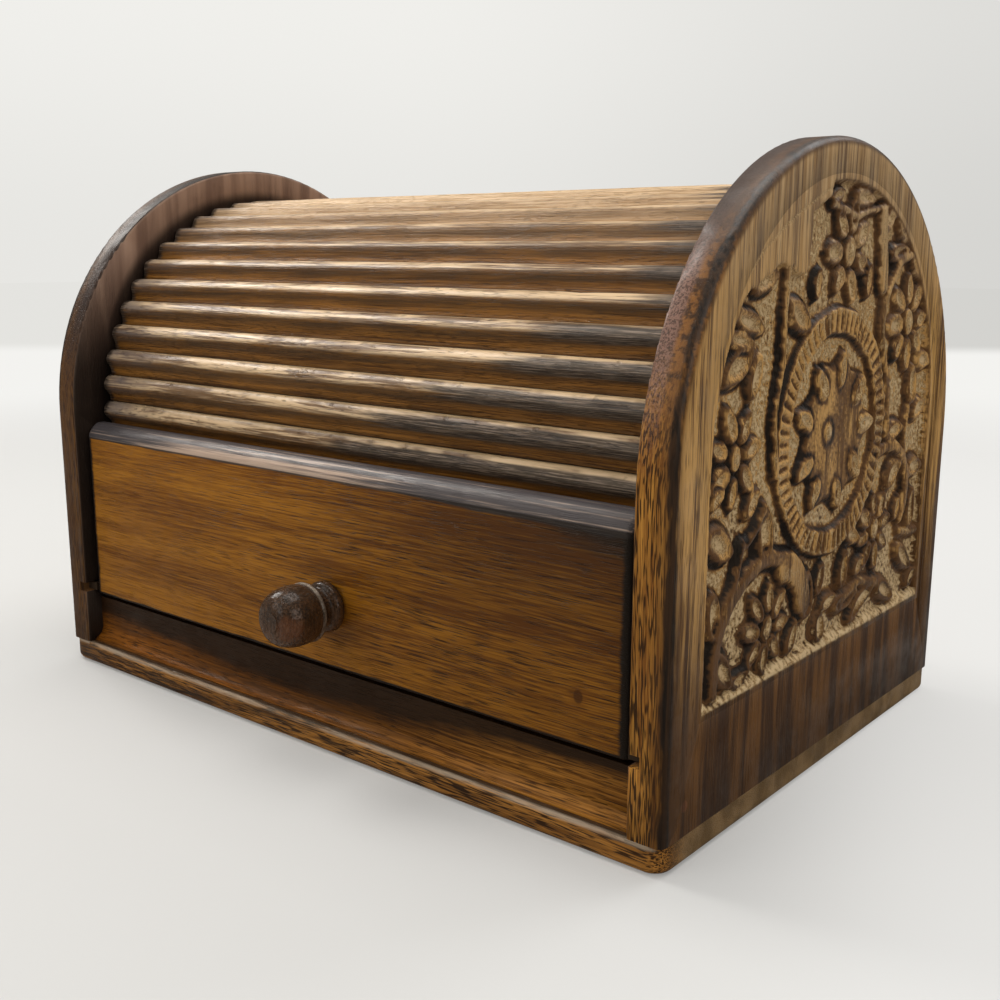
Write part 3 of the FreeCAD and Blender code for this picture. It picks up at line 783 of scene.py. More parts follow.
def knob_material(colours):
    """Turned knob: dark speckled stain, reddish on one cheek from wear, a pale back rim of wear with a
    painted highlight along its top, and a painted warm reflection low down.
    """
    tree, shader = new_material("knob wood")
    low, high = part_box("drawer_knob")
    centre_x, centre_z = (low.x + high.x) / 2, (low.z + high.z) / 2
    point = object_point(tree)
    _, y, z = split(point)
    grain = place_group("wood grain", Vector=turned(point, "Z"), Figure_Width=0.0026, Stripe_Width=0.0005,
                        Pore_Amount=0.5, Pore_Size=0.6, Pore_Length=0.5)
    base = wood_base(grain, colours.knob, scaled(colours.knob, 0.30), colours.burnt_and_shade, 0.4, 0.7)
    patches = noise_of(point, 1500.0, 3.0, 0.65)
    broad = noise_of(point, 260.0, 2.0, 0.5)
    base = mix(span(patches, 0.46, 0.62, 0.0, 0.7), base, colours.burnt_and_shade)
    # warmer brown low on the knob: a painted warm reflection from below
    warm = mix(grain["Stripe"], (0.055, 0.022, 0.008), (0.15, 0.062, 0.022))
    under = centre_z - z + (broad * 0.006 - 0.003)
    base = mix(span(under, -0.002, 0.005, 0.0, 0.8), base, warm)
    cheek = (centre_x + 0.0056, low.y + 0.0017, centre_z - 0.0010)
    wear_and_sheen = vector_maths("DISTANCE", point, cheek) + (broad * 0.003 - 0.0015)
    base = mix(span(wear_and_sheen, 0.0022, 0.0042, 0.6, 0.0), base, (0.15, 0.052, 0.02))
    out = high.y - y
    rim = span(out, 0.0066, 0.0071) * span(out, 0.0076, 0.0081, 1.0, 0.0)
    rim = rim * span(patches, 0.4, 0.6, 0.95, 0.55)
    # the pale rim is strongest at the top, a painted highlight over wear
    rim = rim * span(under, -0.0065, -0.002, 1.0, 0.3)
    base = mix(rim, base, (0.36, 0.29, 0.22))
    satin(shader, point, base, 0.2, 0.4, 0.18)
    shader.inputs["Coat Roughness"].default_value = 0.17
    feed(span(patches, 0.36, 0.6, 0.62, 0.12), shader.inputs["Coat Weight"])
    bumped(shader, grain["Height"] + patches, 1.0, 0.00035)


def plain_wood(name, axis, light, dark, pore, smooth_gloss, dull_gloss, figure=0.007, pores=0.4, soot_and_shade=0.0,
               stained_to=None):
    """A board with its grain along one axis; what lies in front of stained_to is stained dark."""
    tree, shader = new_material(name)
    point = object_point(tree)
    along = turned(point, axis)
    grain = place_group("wood grain", Vector=along, Figure_Width=figure, Stripe_Width=0.001,
                        Pore_Amount=pores)
    base = wood_base(grain, light, dark, pore, 0.45, 0.7)
    if soot_and_shade:
        patches = noise_of(stretched(along, 14.0, 90.0), 1.0, 4.0, 0.6)
        base = mix(span(patches, 0.4, 0.62) * soot_and_shade, base, pore)
    if stained_to is not None:
        y = split(point)[1]
        base = mix(span(y, stained_to, stained_to + MM, 1.0, 0.0), base, (0.03, 0.018, 0.01))
    satin(shader, point, base, smooth_gloss, dull_gloss)
    bumped(shader, grain["Height"], 0.45, 0.00016)


def canvas_material(colours):
    """Plain weave, from the sheet's own UV map in metres."""
    tree, shader = new_material("canvas")
    flat = uv_point(tree, "cloth")
    half_turns = 1400.0 * math.pi    # one thread to each half turn, 1400 to the metre
    warp, weft = (maths("SINE", place * half_turns) for place in split(flat)[:2])
    weave = warp * weft
    tone = maths("ADD", weave * 0.22 + 0.5, noise_of(flat, 420.0, 3.0, 0.6) * 0.6 - 0.3, clamp=True)
    feed(mix(tone, scaled(colours.cloth, 0.55), colours.cloth), shader.inputs["Base Color"])
    shader.inputs["Roughness"].default_value = 0.9
    shader.inputs["Sheen Weight"].default_value = 0.15
    bumped(shader, weave, 0.5, 0.0001)


def steel_material():
    tree, shader = new_material("screw steel")
    dirt = noise_of(object_point(tree), 900.0, 3.0, 0.6)
    feed(mix(span(dirt, 0.4, 0.7), (0.45, 0.44, 0.41), (0.16, 0.13, 0.10)), shader.inputs["Base Color"])
    shader.inputs["Metallic"].default_value = 1.0
    feed(span(dirt, 0.3, 0.7, 0.28, 0.55), shader.inputs["Roughness"])
    bumped(shader, dirt, 0.3, 0.00005)


def make_materials(colours, rebate):
    for make in (grain_group, scorch_and_shade_group, gloss_group, steel_material):
        make()
    for make in (panel_material, slat_material, drawer_material, base_material, rail_material, knob_material,
                 canvas_material):
        make(colours)
    plain_wood("carcass wood", "X", colours.golden, colours.brown, colours.pore, 0.40, 0.6, soot_and_shade=0.5)
    bare = (colours.inside, scaled(colours.inside, 0.66), colours.brown, 0.5, 0.7)
    plain_wood("inner wood", "X", *bare, pores=0.3)
    plain_wood("inner wood along", "Y", *bare, pores=0.3)
    plain_wood("bottom wood", "X", *bare, pores=0.3, stained_to=drawer_high.y - rebate)
    plain_wood("peg wood", "Z", (0.20, 0.075, 0.028), (0.075, 0.027, 0.010), colours.pore, 0.35, 0.5,
               figure=0.0016, pores=0.6)


# ---------------------------------------------------------------- carving

def blend_step(value, start, end):
    """Smooth step of an array from 0 at start to 1 at end."""
    share = np.clip((value - start) / (end - start), 0.0, 1.0)
    return share * share * (3.0 - 2.0 * share)


def bell(value, middle, width):
    return np.exp(-((value - middle) / width) ** 2)


def beside_line(across, up, start, end):
    """Distance along a line from its start and beside it, and the line's length."""
    (y0, z0), (y1, z1) = start, end
    dy, dz = y1 - y0, z1 - z0
    reach = math.hypot(dy, dz)
    along = ((across - y0) * dy + (up - z0) * dz) / reach
    return along, ((up - z0) * dy - (across - y0) * dz) / reach, reach


class Relief:
    """Height and tone of the carved field over a grid of points, in millimetres on the panel's face.

    Height runs from 0 on the ground to 1 at the face. Tone runs from 0, scorched wood and painted
    shade in the moats and cuts, through 0.55, plain wood, to 1, freshly cut wood with painted highlights.
    """

    def __init__(self, across, up):
        self.across = across
        self.up = up
        self.height = np.zeros_like(across)
        self.tone = np.full_like(across, 0.80)
        # the dark tone of rims and moats: scorched wood with painted shade, darker on the left
        self.scorch_and_shade = 0.08 + 0.10 * blend_step(across, -30.0, 25.0)
        # painted highlights that catch the forms' rims here and there
        self.glint = 0.85 * np.clip(2.6 * noise_field(across, up, 0.42, 51.0), 0.0, 1.0)

    def raise_form(self, edge, top, tone, shoulder=1.1):
        """Lay a form over the field; edge is the distance inside its outline."""
        lift = blend_step(edge, -0.75, shoulder) * top
        # the moat round a form is painted dark as shade
        moat = blend_step(edge, -1.4, -0.35) * (edge <= 0.3) * (self.height < 0.75)
        self.tone = self.tone * (1 - moat) + np.minimum(self.tone, self.scorch_and_shade) * moat
        dark = self.scorch_and_shade + (tone - self.scorch_and_shade) * blend_step(edge, 0.05, 0.8 * shoulder + 0.35)
        # a painted highlight along the form's rim
        glint = self.glint * bell(edge, 0.55, 0.30)
        dark = dark * (1 - glint) + 0.92 * glint
        higher = (lift > self.height) & (edge > -0.3)
        self.tone = np.where(higher, dark, self.tone)
        self.height = np.maximum(self.height, lift)

    def local(self, y, z, degrees):
        turn = math.radians(degrees)
        dy, dz = self.across - y, self.up - z
        return dy * math.cos(turn) + dz * math.sin(turn), dz * math.cos(turn) - dy * math.sin(turn)

    def leaf(self, y, z, degrees, long, wide, top=1.0, cut=0.62, tone=0.5):
        """A pointed leaf with a dark rim, scorched and in painted shade, and a gouge cut along it whose pale
        middle is fresh wood with a painted highlight; the point is at the far end.
        """
        a, b = self.local(y, z, degrees)
        share = np.clip(a / (long / 2), -1.0, 1.0)
        half = wide / 2 * (1 - share ** 2) ** 0.6 * (1.0 - 0.16 * share)
        edge = np.minimum(half - np.abs(b), long / 2 - np.abs(a))
        gouge = np.clip(1 - (a / (0.36 * long)) ** 2 - (b / (0.27 * wide)) ** 2, 0, 1)
        shade = tone - 0.08 + (1.02 - tone) * np.clip(gouge * 1.1, 0, 1) ** 1.3
        self.raise_form(edge, top - gouge ** 0.75 * cut, shade, 0.24 * wide)

    def vine(self, y, z, radius, start, end, wide, top=0.9, tone=0.5, taper=0.0):
        """A stem along an arc, in degrees from the right round to the top."""
        dy, dz = self.across - y, self.up - z
        middle = (start + end) / 2
        angle = middle + (np.degrees(np.arctan2(dz, dy)) - middle + 180) % 360 - 180
        share = np.clip((angle - start) / (end - start), 0, 1)
        over = np.maximum(np.maximum(start - angle, angle - end), 0) * math.pi / 180 * radius
        edge = wide / 2 * (1 - taper * share) - np.hypot(np.hypot(dy, dz) - radius, over)
        self.raise_form(edge, top, tone, min(1.2, 0.4 * wide))

    def stem(self, y0, z0, y1, z1, wide, top=0.9, tone=0.5):
        """A straight stem."""
        a, b, reach = beside_line(self.across, self.up, (y0, z0), (y1, z1))
        edge = wide / 2 - np.hypot(b, np.maximum(np.maximum(-a, a - reach), 0))
        self.raise_form(edge, top, tone, min(1.2, 0.4 * wide))

    def disc(self, y, z, radius, top, tone, lobes=0, lobe_depth=0.0, shoulder=1.0):
        dy, dz = self.across - y, self.up - z
        rim = radius + lobe_depth * np.cos(lobes * np.arctan2(dz, dy))
        self.raise_form(rim - np.hypot(dy, dz), top, tone, shoulder)

    def heart(self, y, z, radius):
        """The middle of a flower: a pale boss, taller than wide, with a sunk ring painted darker as shade.
        """
        reach = np.hypot((self.across - y) * 1.15, (self.up - z) * 0.85)
        ring = bell(reach, radius * 0.55, 0.45)
        self.raise_form(radius - reach, 1.0 - 0.3 * ring, 0.9 - 0.4 * ring, 0.6)

    def flower(self, y, z, reach, petals, long, wide, turn=0.0, heart=2.4):
        for n in range(petals):
            degrees = turn + 360.0 * n / petals
            out = reach - long / 2
            sway = 4.0 * math.sin(2.3 * n + y)
            py = y + out * math.cos(math.radians(degrees))
            pz = z + out * math.sin(math.radians(degrees))
            grow = 1.0 + 0.08 * math.sin(3.7 * n + z)
            self.leaf(py, pz, degrees + sway, long * grow, 0.86 * wide * grow, 0.94, 0.66)
        self.heart(y, z, heart)

    def ring(self, y, z, inner, outer, ticks):
        """The gadrooned ring: a band of short radial cuts, painted darker as shade, between two smooth
        edges.
        """
        dy, dz = self.across - y, self.up - z
        reach = np.hypot(dy, dz)
        angle = np.arctan2(dz, dy)
        edge = np.minimum(reach - inner, outer - reach)
        wave = 0.5 + 0.5 * np.cos(ticks * angle + 0.25 * (reach - inner) + 0.5 * np.sin(5 * angle))
        cut = blend_step(edge, 0.5, 1.3) * wave ** 1.6
        border = bell(reach, outer - 0.6, 0.5)
        self.raise_form(edge, 0.96 - 0.5 * cut, 0.66 - 0.42 * cut + 0.2 * border, 0.7)

    def fill(self, inside, height, tone):
        """Bring a region up to plain wood; inside is the distance within it."""
        share = blend_step(inside, -0.5, 0.35)
        self.tone = self.tone * (1 - share) + tone * share
        self.height = np.maximum(self.height, height * share)


def polygon_distance(across, up, corners):
    """Distance inside a polygon; negative outside it."""
    nearest = np.full_like(across, 1e6)
    inside = np.zeros(across.shape, bool)
    for (y0, z0), (y1, z1) in zip(corners, corners[1:] + corners[:1]):
        dy, dz = y1 - y0, z1 - z0
        share = np.clip(((across - y0) * dy + (up - z0) * dz) / (dy * dy + dz * dz), 0, 1)
        nearest = np.minimum(nearest, np.hypot(across - y0 - share * dy, up - z0 - share * dz))
        crosses = (up > z0) != (up > z1)
        if dz:
            inside ^= crosses & (across < y0 + (up - z0) * dy / dz)
    return np.where(inside, nearest, -nearest)


def noise_field(across, up, scale, layer):
    """Noise over the grid; scale is patterns per millimetre."""
    values = [noise.noise(Vector((y * scale, z * scale, layer))) for y, z in zip(across.ravel(), up.ravel())]
    return np.array(values).reshape(across.shape)


def blurred(field, passes):
    for _ in range(passes):
        wide = np.pad(field, 1, mode="edge")
        field = (wide[1:-1, 1:-1] * 2 + wide[:-2, 1:-1] + wide[2:, 1:-1] + wide[1:-1, :-2]
                 + wide[1:-1, 2:]) / 6
    return field


# The field's forms, in millimetres on the panel's face: Y to the back, Z up, and degrees of turn.
# Leaves and pads: y, z, turn, length, width.
LEAVES = (
    (-47.0, 100.0, 24, 15.5, 8.2), (-39.6, 97.4, 66, 11.0, 6.2), (-43.4, 108.4, -16, 16.0, 5.6),
    (-46.4, 104.6, -8, 13.5, 4.6), (-37.4, 116.4, 14, 13.5, 6.6), (-21.0, 108.6, -26, 13.0, 7.4),
    (-51.8, 64.6, -26, 14.0, 8.4), (-32.2, 63.2, 100, 14.5, 9.6), (-53.2, 50.0, 97, 12.0, 7.2),
    (-48.4, 37.2, -49, 13.5, 7.4), (-10.8, 45.4, 89, 14.0, 9.8), (-2.8, 35.8, 86, 9.6, 6.4),
    (-3.6, 47.6, 66, 9.0, 5.6), (9.2, 47.6, 74, 11.0, 6.2), (13.6, 54.8, -20, 10.5, 5.8),
    (11.0, 39.2, 6, 16.0, 5.8), (22.0, 37.2, 26, 20.0, 6.0), (36.2, 36.0, -26, 14.5, 6.0),
    (47.6, 43.0, -32, 14.5, 7.0), (50.4, 67.0, 2, 11.5, 6.6), (49.8, 56.0, 84, 12.0, 7.2),
    (35.0, 78.2, 4, 13.0, 6.2), (36.4, 67.2, 27, 12.0, 7.6), (50.4, 82.0, 20, 10.5, 6.4),
    (45.2, 89.0, 96, 11.5, 6.8), (31.0, 121.8, 6, 13.0, 5.2), (33.6, 127.0, -26, 12.0, 5.2),
    (23.4, 129.2, 38, 10.0, 5.8), (8.8, 133.8, -6, 12.0, 4.8), (-5.4, 134.0, 16, 8.0, 3.8),
    (13.4, 115.4, 70, 9.0, 5.8), (42.6, 119.0, -40, 12.0, 6.0), (51.4, 94.6, -6, 10.5, 5.6),
    (-38.6, 71.2, 42, 8.6, 5.0), (1.6, 41.4, 10, 9.4, 4.6), (28.4, 86.2, 70, 9.0, 5.0),
    (-53.4, 74.0, -140, 6.0, 4.0), (40.4, 57.6, 60, 8.0, 4.4), (18.4, 46.4, 20, 8.0, 4.6),
    (-17.0, 37.0, 60, 9.0, 5.2), (-40.6, 33.8, 10, 9.0, 3.8), (54.0, 36.4, 30, 8.0, 4.6),
    (21.4, 121.4, 84, 6.0, 3.6), (-13.2, 115.2, 70, 8.0, 4.6))

PADS = ((-8.2, 93.4, 122, 9.6, 5.4), (2.0, 95.8, 84, 9.2, 5.0), (12.0, 90.4, 40, 9.2, 6.4),
        (16.8, 82.0, 4, 9.8, 5.8), (11.8, 72.6, -48, 9.8, 6.2), (2.6, 66.8, -80, 9.0, 5.2),
        (-9.2, 68.4, -116, 9.0, 5.2), (-15.0, 75.0, -154, 8.8, 5.2), (-15.8, 86.0, 162, 9.2, 5.6))

# Arcs: y, z, radius, start, end, width, top, tone.
VINES = ((8.0, 86.0, 38.4, 163, 196, 2.4, 1.0, 0.66), (-48.0, 78.0, 17.2, -66, -28, 2.6, 0.95, 0.34),
         (-62.0, 66.0, 20.0, -48, -8, 3.0, 0.95, 0.34), (-31.0, 36.0, 21.6, 62, 186, 4.6, 1.0, 0.42),
         (-30.0, 44.0, 12.6, 24, 122, 2.8, 0.9, 0.34), (-24.0, 43.0, 11.4, 8, 82, 8.0, 0.98, 0.56),
         (40.0, 104.6, 16.6, 98, 232, 3.2, 1.0, 0.58), (33.0, 62.0, 12.4, -38, 118, 3.8, 0.98, 0.46),
         (20.0, 20.0, 22.0, 62, 128, 3.2, 0.9, 0.44), (56.0, 76.0, 14.0, 150, 232, 3.0, 0.9, 0.42))

# Straight stems: y, z, y, z, width, top, tone.
STEMS = ((-27.0, 120.0, -28.4, 110.0, 2.4, 1.0, 0.66), (-28.4, 110.0, -28.2, 98.0, 2.4, 1.0, 0.66),
         (19.6, 131.0, 22.4, 114.0, 5.0, 1.0, 0.62), (27.5, 93.0, 31.0, 79.0, 3.4, 0.95, 0.44),
         (43.6, 50.6, 55.0, 48.6, 2.6, 0.9, 0.48), (-8.0, 132.0, 6.0, 130.0, 1.8, 0.9, 0.5),
         (6.0, 130.0, 25.0, 133.0, 1.8, 0.9, 0.5))

# The corner left uncarved at the front of the arch, and the line scribed across it.
PLAIN_CORNER = ((-60.0, 100.0), (-51.5, 109.5), (-44.5, 114.2), (-31.5, 119.5), (-26.5, 119.0),
                (-24.5, 117.2), (-20.5, 117.2), (-18.6, 119.6), (-18.0, 130.0), (-9.5, 133.6),
                (-8.0, 142.0), (-60.0, 142.0))

SCRIBED_LINE = ((-51.0, 112.0), (-46.0, 117.2), (-40.0, 122.0), (-30.0, 127.6), (-20.0, 131.8),
                (-10.0, 135.4))


def carve_field(relief, ring_z):
    """Lay all the forms of the panel's floral field."""
    relief.ring(-0.6, ring_z, 22.4, 28.6, 60)
    relief.disc(0.6, ring_z, 17.2, 0.62, 0.41, 9, 1.2, 1.8)
    for y, z, degrees, long, wide in PADS:
        relief.leaf(y, z, degrees, long, wide, 1.0, 0.42, 0.68)
    relief.disc(-3.6, ring_z + 0.8, 2.7, 1.0, 0.9, shoulder=2.2)
    relief.flower(-46.6, 81.6, 11.6, 7, 8.6, 6.2, 8)
    relief.flower(2.2, 122.2, 12.4, 7, 9.0, 7.0, 28, 2.8)
    relief.flower(39.6, 105.0, 12.8, 8, 9.2, 7.0, 4, 2.9)
    relief.flower(-29.6, 42.0, 11.2, 8, 8.4, 5.8, -4, 2.6)
    relief.flower(26.6, 54.0, 11.0, 8, 8.0, 5.8, 12, 2.6)
    for leaf in LEAVES:
        relief.leaf(*leaf)
    for vine in VINES:
        relief.vine(*vine)
    for stem in STEMS:
        relief.stem(*stem)


def slab_outline(sizes):
    """The slab's half width, and the heights of its arch's centre, its foot and its top, in metres."""
    half = arch_radius - sizes.side_margin
    centre_z = cad_high.z - sizes.top_margin - half
    margin = sizes.pocket_margin
    return half + margin, centre_z, sizes.field_bottom - margin, cad_high.z - sizes.top_margin + margin


def field_outline(across, up, sizes):
    """Distance in millimetres inside the carved field's arched outline."""
    half = (arch_radius - sizes.side_margin) / MM
    top = (cad_high.z - sizes.top_margin) / MM
    arch = half - np.hypot(across, np.maximum(up - (top - half), 0.0))
    return np.minimum(arch, up - sizes.field_bottom / MM)


def carved_slab(sizes):
    """The carved surface as a closed slab that fills the pocket in the right-hand panel."""
    half, _, low_z, high_z = slab_outline(sizes)
    columns = round(2 * half / sizes.cell)
    rows = round((high_z - low_z) / sizes.cell)
    slab = add_piece("carved_slab", bpy.ops.mesh.primitive_grid_add, x_subdivisions=rows,
                     y_subdivisions=columns, size=1)
    slab.scale = (high_z - low_z, 2 * half, 1.0)
    slab.rotation_euler = (0.0, math.pi / 2, 0.0)
    slab.location = (panel_face_x, 0.0, (low_z + high_z) / 2)
    apply_placement()
    drop, tone, share = carved_surface(sizes, np.linspace(-half, half, columns + 1) / MM,
                                       np.linspace(low_z, high_z, rows + 1) / MM)
    points = np.array([vertex.co for vertex in slab.data.vertices])
    column = np.rint((points[:, 1] + half) / (2 * half) * columns).astype(int)
    row = np.rint((points[:, 2] - low_z) / (high_z - low_z) * rows).astype(int)
    points[:, 0] -= drop[row, column] * MM
    slab.data.vertices.foreach_set("co", points.ravel())
    add_attribute(slab.data, "carving_tone", tone[row, column])
    add_attribute(slab.data, "carving_share", share[row, column])
    edit(slab)
    mesh = bmesh.from_edit_mesh(slab.data)
    centres = [(face, face.calc_center_median() / MM) for face in mesh.faces]
    outside = [face for face, centre in centres
               if field_outline(centre.y, centre.z, sizes) + sizes.pocket_margin / MM < 0.0]
    bmesh.ops.delete(mesh, geom=outside, context="FACES")
    snap_to_outline(mesh, sizes)
    bmesh.update_edit_mesh(slab.data)
    # the rim runs down into the pocket, and the back is closed
    bpy.ops.mesh.select_mode(type="EDGE")
    bpy.ops.mesh.select_non_manifold()
    bpy.ops.mesh.extrude_region_move(TRANSFORM_OT_translate={"value": (-sizes.pocket_depth, 0.0, 0.0)})
    bpy.ops.mesh.edge_face_add()
    face_outward()
    leave_edit()
    return slab


def carved_surface(sizes, columns, rows):
    """Drop from the face in millimetres, tone and carved share over a grid of points."""
    across, up = np.meshgrid(columns, rows)
    # the forms are drawn on a grid that is warped a little, so that no outline is quite regular
    relief = Relief(across + 0.7 * noise_field(across, up, 0.13, 21.0),
                    up + 0.7 * noise_field(across, up, 0.13, 27.0))
    carve_field(relief, sizes.ring_height / MM)
    chips = noise_field(across, up, 0.4, 5.0)
    coarse = noise_field(across, up, 0.95, 3.0)
    fine = noise_field(across, up, 1.35, 9.0)
    ragged = 0.5 * chips + 0.2 * coarse
    inside = field_outline(across, up, sizes)
    relief.fill(polygon_distance(across, up, PLAIN_CORNER) + ragged, 1.0, 0.55)
    height = blurred(relief.height, 2)
    ground = 1.0 - blend_step(height, 0.1, 0.5)
    height = height + ground * (0.16 * coarse + 0.12 * fine) + (1 - ground) * (0.03 * coarse + 0.02 * fine)
    tone = blurred(relief.tone, 1)
    open_ground = ground * blend_step(tone, 0.35, 0.75)
    tone += open_ground * (0.60 * fine + 0.45 * coarse + 0.02) + (1 - ground) * 0.16 * fine
    tone += 0.20 * noise_field(across, up, 0.09, 33.0)
    # the lower edge slopes down to the ground and is torn pale
    slope = blend_step(sizes.field_bottom / MM + 2.7 + 0.9 * chips - up, 0.0, 2.6)
    height = np.maximum(height, 0.9 * slope)
    tone = tone * (1 - slope) + (0.90 + 0.22 * fine + 0.45 * coarse + 0.3 * chips) * slope
    # the arched edge falls steeply and is scorched
    wall = blend_step(inside + 0.7 * ragged, -0.4, 0.9)
    height = np.where(up < sizes.field_bottom / MM + 1.5, height, 1 - (1 - height) * wall)
    tone = np.where(up < sizes.field_bottom / MM + 1.5, tone, tone * wall + 0.3 * (1 - wall))
    plain = np.maximum(1.0 - blend_step(inside + 0.5 * ragged, -0.5, 0.0),
                       blend_step(polygon_distance(across, up, PLAIN_CORNER) + ragged, 0.1, 0.7))
    height = height * (1 - plain) + plain
    for start, end in zip(SCRIBED_LINE, SCRIBED_LINE[1:]):
        along, beside, reach = beside_line(across, up, start, end)
        line = bell(beside, 0.0, 0.32) * ((along > -0.2) & (along < reach + 0.2))
        height -= 0.10 * line
        tone = tone * (1 - line * plain) + 0.95 * line * plain
        plain = plain * (1 - 0.75 * line)
    drop = sizes.depth / MM * (1.0 - np.clip(height, -0.2, 1.0))
    drop = np.where(inside < -1.1, 0.0, drop)
    return drop, np.clip(tone, 0.0, 1.0), 1.0 - plain


def snap_to_outline(mesh, sizes):
    """Move the rim's points onto the arched outline."""
    half, centre_z, low_z, _ = slab_outline(sizes)
    for vertex in mesh.verts:
        if not vertex.is_boundary:
            continue
        if vertex.co.z > centre_z:
            reach = Vector((vertex.co.y, vertex.co.z - centre_z)).normalized() * half
            vertex.co.y, vertex.co.z = reach.x, centre_z + reach.y
        elif vertex.co.z > low_z + sizes.cell / 2:
            vertex.co.y = math.copysign(half, vertex.co.y)


def pocket_cutter(sizes):
    """An arched block the size of the slab, to cut its pocket."""
    half, centre_z, low_z, _ = slab_outline(sizes)
    cutter = add_piece("pocket_cutter", bpy.ops.mesh.primitive_cylinder_add, vertices=256, radius=half,
                       depth=2 * sizes.pocket_depth, location=(panel_face_x, 0.0, centre_z),
                       rotation=(0.0, math.pi / 2, 0.0))
    apply_placement()
    edit(cutter)
    bpy.ops.mesh.select_all(action="SELECT")
    bpy.ops.mesh.bisect(plane_co=(0, 0, centre_z), plane_no=(0, 0, 1), clear_inner=True, use_fill=True)
    pick_faces(cutter, lambda centre, normal: normal.z < -0.9)
    bpy.ops.mesh.extrude_region_move(TRANSFORM_OT_translate={"value": (0.0, 0.0, low_z - centre_z)})
    leave_edit()
    return cutter


def cut_away(piece, cutter):
    apply_modifier(piece, "BOOLEAN", operation="DIFFERENCE", object=cutter, solver="EXACT")
    bpy.data.objects.remove(cutter)


def end_panel(name, node, sizes, material):
    """A carved end panel: the plain board with a pocket, and the carved slab set in it."""
    board = copy_of_node(node, name)
    cut_away(board, pocket_cutter(sizes))
    for label in ("carving_tone", "carving_share"):
        board.data.attributes.new(label, "FLOAT", "POINT")
    smooth(board, 38)
    slab = carved_slab(sizes)
    smooth(slab, 80)
    select_only(board)
    slab.select_set(True)
    bpy.ops.object.join()
    return finish_piece(board, "box", "panel_wood", material, node)


# ---------------------------------------------------------------- slats

def slat_seat(node):
    """Where a slat's flat back lies: its middle and the way out."""
    mesh = frame["nodes"][node].data
    areas = {}
    for face in mesh.polygons:
        key = tuple(round(part, 2) for part in face.normal)
        area, middle, normal = areas.get(key, (0.0, Vector(), Vector()))
        areas[key] = (area + face.area, middle + face.center * face.area, normal + face.normal * face.area)
    flat = [entry for key, entry in areas.items() if abs(key[0]) < 0.1]
    area, middle, normal = max(flat, key=lambda entry: entry[0])
    outward = -normal.normalized()
    return middle / area, outward


# A slat's worn front in section, in millimetres: up the arch from its middle, and out from its back.
SLAT_PROFILE = ((3.30, 4.35), (3.10, 4.85), (2.70, 5.38), (2.20, 5.82), (1.65, 6.14), (1.10, 6.32),
                (0.55, 6.38), (0.0, 6.22), (-0.50, 5.82), (-1.00, 5.25), (-1.50, 4.70), (-2.05, 4.28),
                (-2.65, 4.02), (-3.30, 3.92))


def master_slat(sizes):
    """One slat in its own frame: X along it, Y up the arch, Z out, from its flat back."""
    _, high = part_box("tambour_slat_01")
    shoulder = high.x - sizes.tongue_length
    width, thickness = slat_section()
    half = width / 2
    slat = add_block("master_slat", (-shoulder, -half, 0.0), (shoulder, half, thickness))
    edit(slat)
    for across, _ in SLAT_PROFILE[1:-1]:
        bisect_all((0, across * MM, 0), (0, 1, 0))
    bisect_all((0, 0, sizes.tongue), (0, 0, 1))
    for across, height in SLAT_PROFILE:
        pick_edges(slat, lambda a, b: near(a.z, thickness) and near(b.z, thickness)
                   and near(a.y, across * MM) and near(b.y, across * MM))
        bpy.ops.transform.translate(value=(0.0, 0.0, height * MM - thickness))
    pick_edges(slat, lambda a, b: abs(a.x - b.x) > shoulder)
    bpy.ops.mesh.subdivide(number_cuts=sizes.stations)
    leave_edit()
    slat.data.uv_layers.remove(slat.data.uv_layers[0])
    return slat, shoulder


def slat_section():
    """Width and thickness of a slat."""
    seat, outward = slat_seat("tambour_slat_01")
    along = outward.cross(Vector((1, 0, 0)))
    from_seat = [vertex.co - seat for vertex in frame["nodes"]["tambour_slat_01"].data.vertices]
    across = [place.dot(along) for place in from_seat]
    return max(across) - min(across), max(place.dot(outward) for place in from_seat)


def add_tongues(slat, shoulder, sizes):
    """Draw the tongues that run in the grooves out of both ends of a slat."""
    edit(slat)
    for side in (1, -1):
        pick_faces(slat, lambda c, n: n.x * side > 0.9 and c.z < sizes.tongue and near(c.x, side * shoulder))
        bpy.ops.mesh.extrude_region_move(
            TRANSFORM_OT_translate={"value": (side * sizes.tongue_length, 0.0, 0.0)})
    leave_edit()


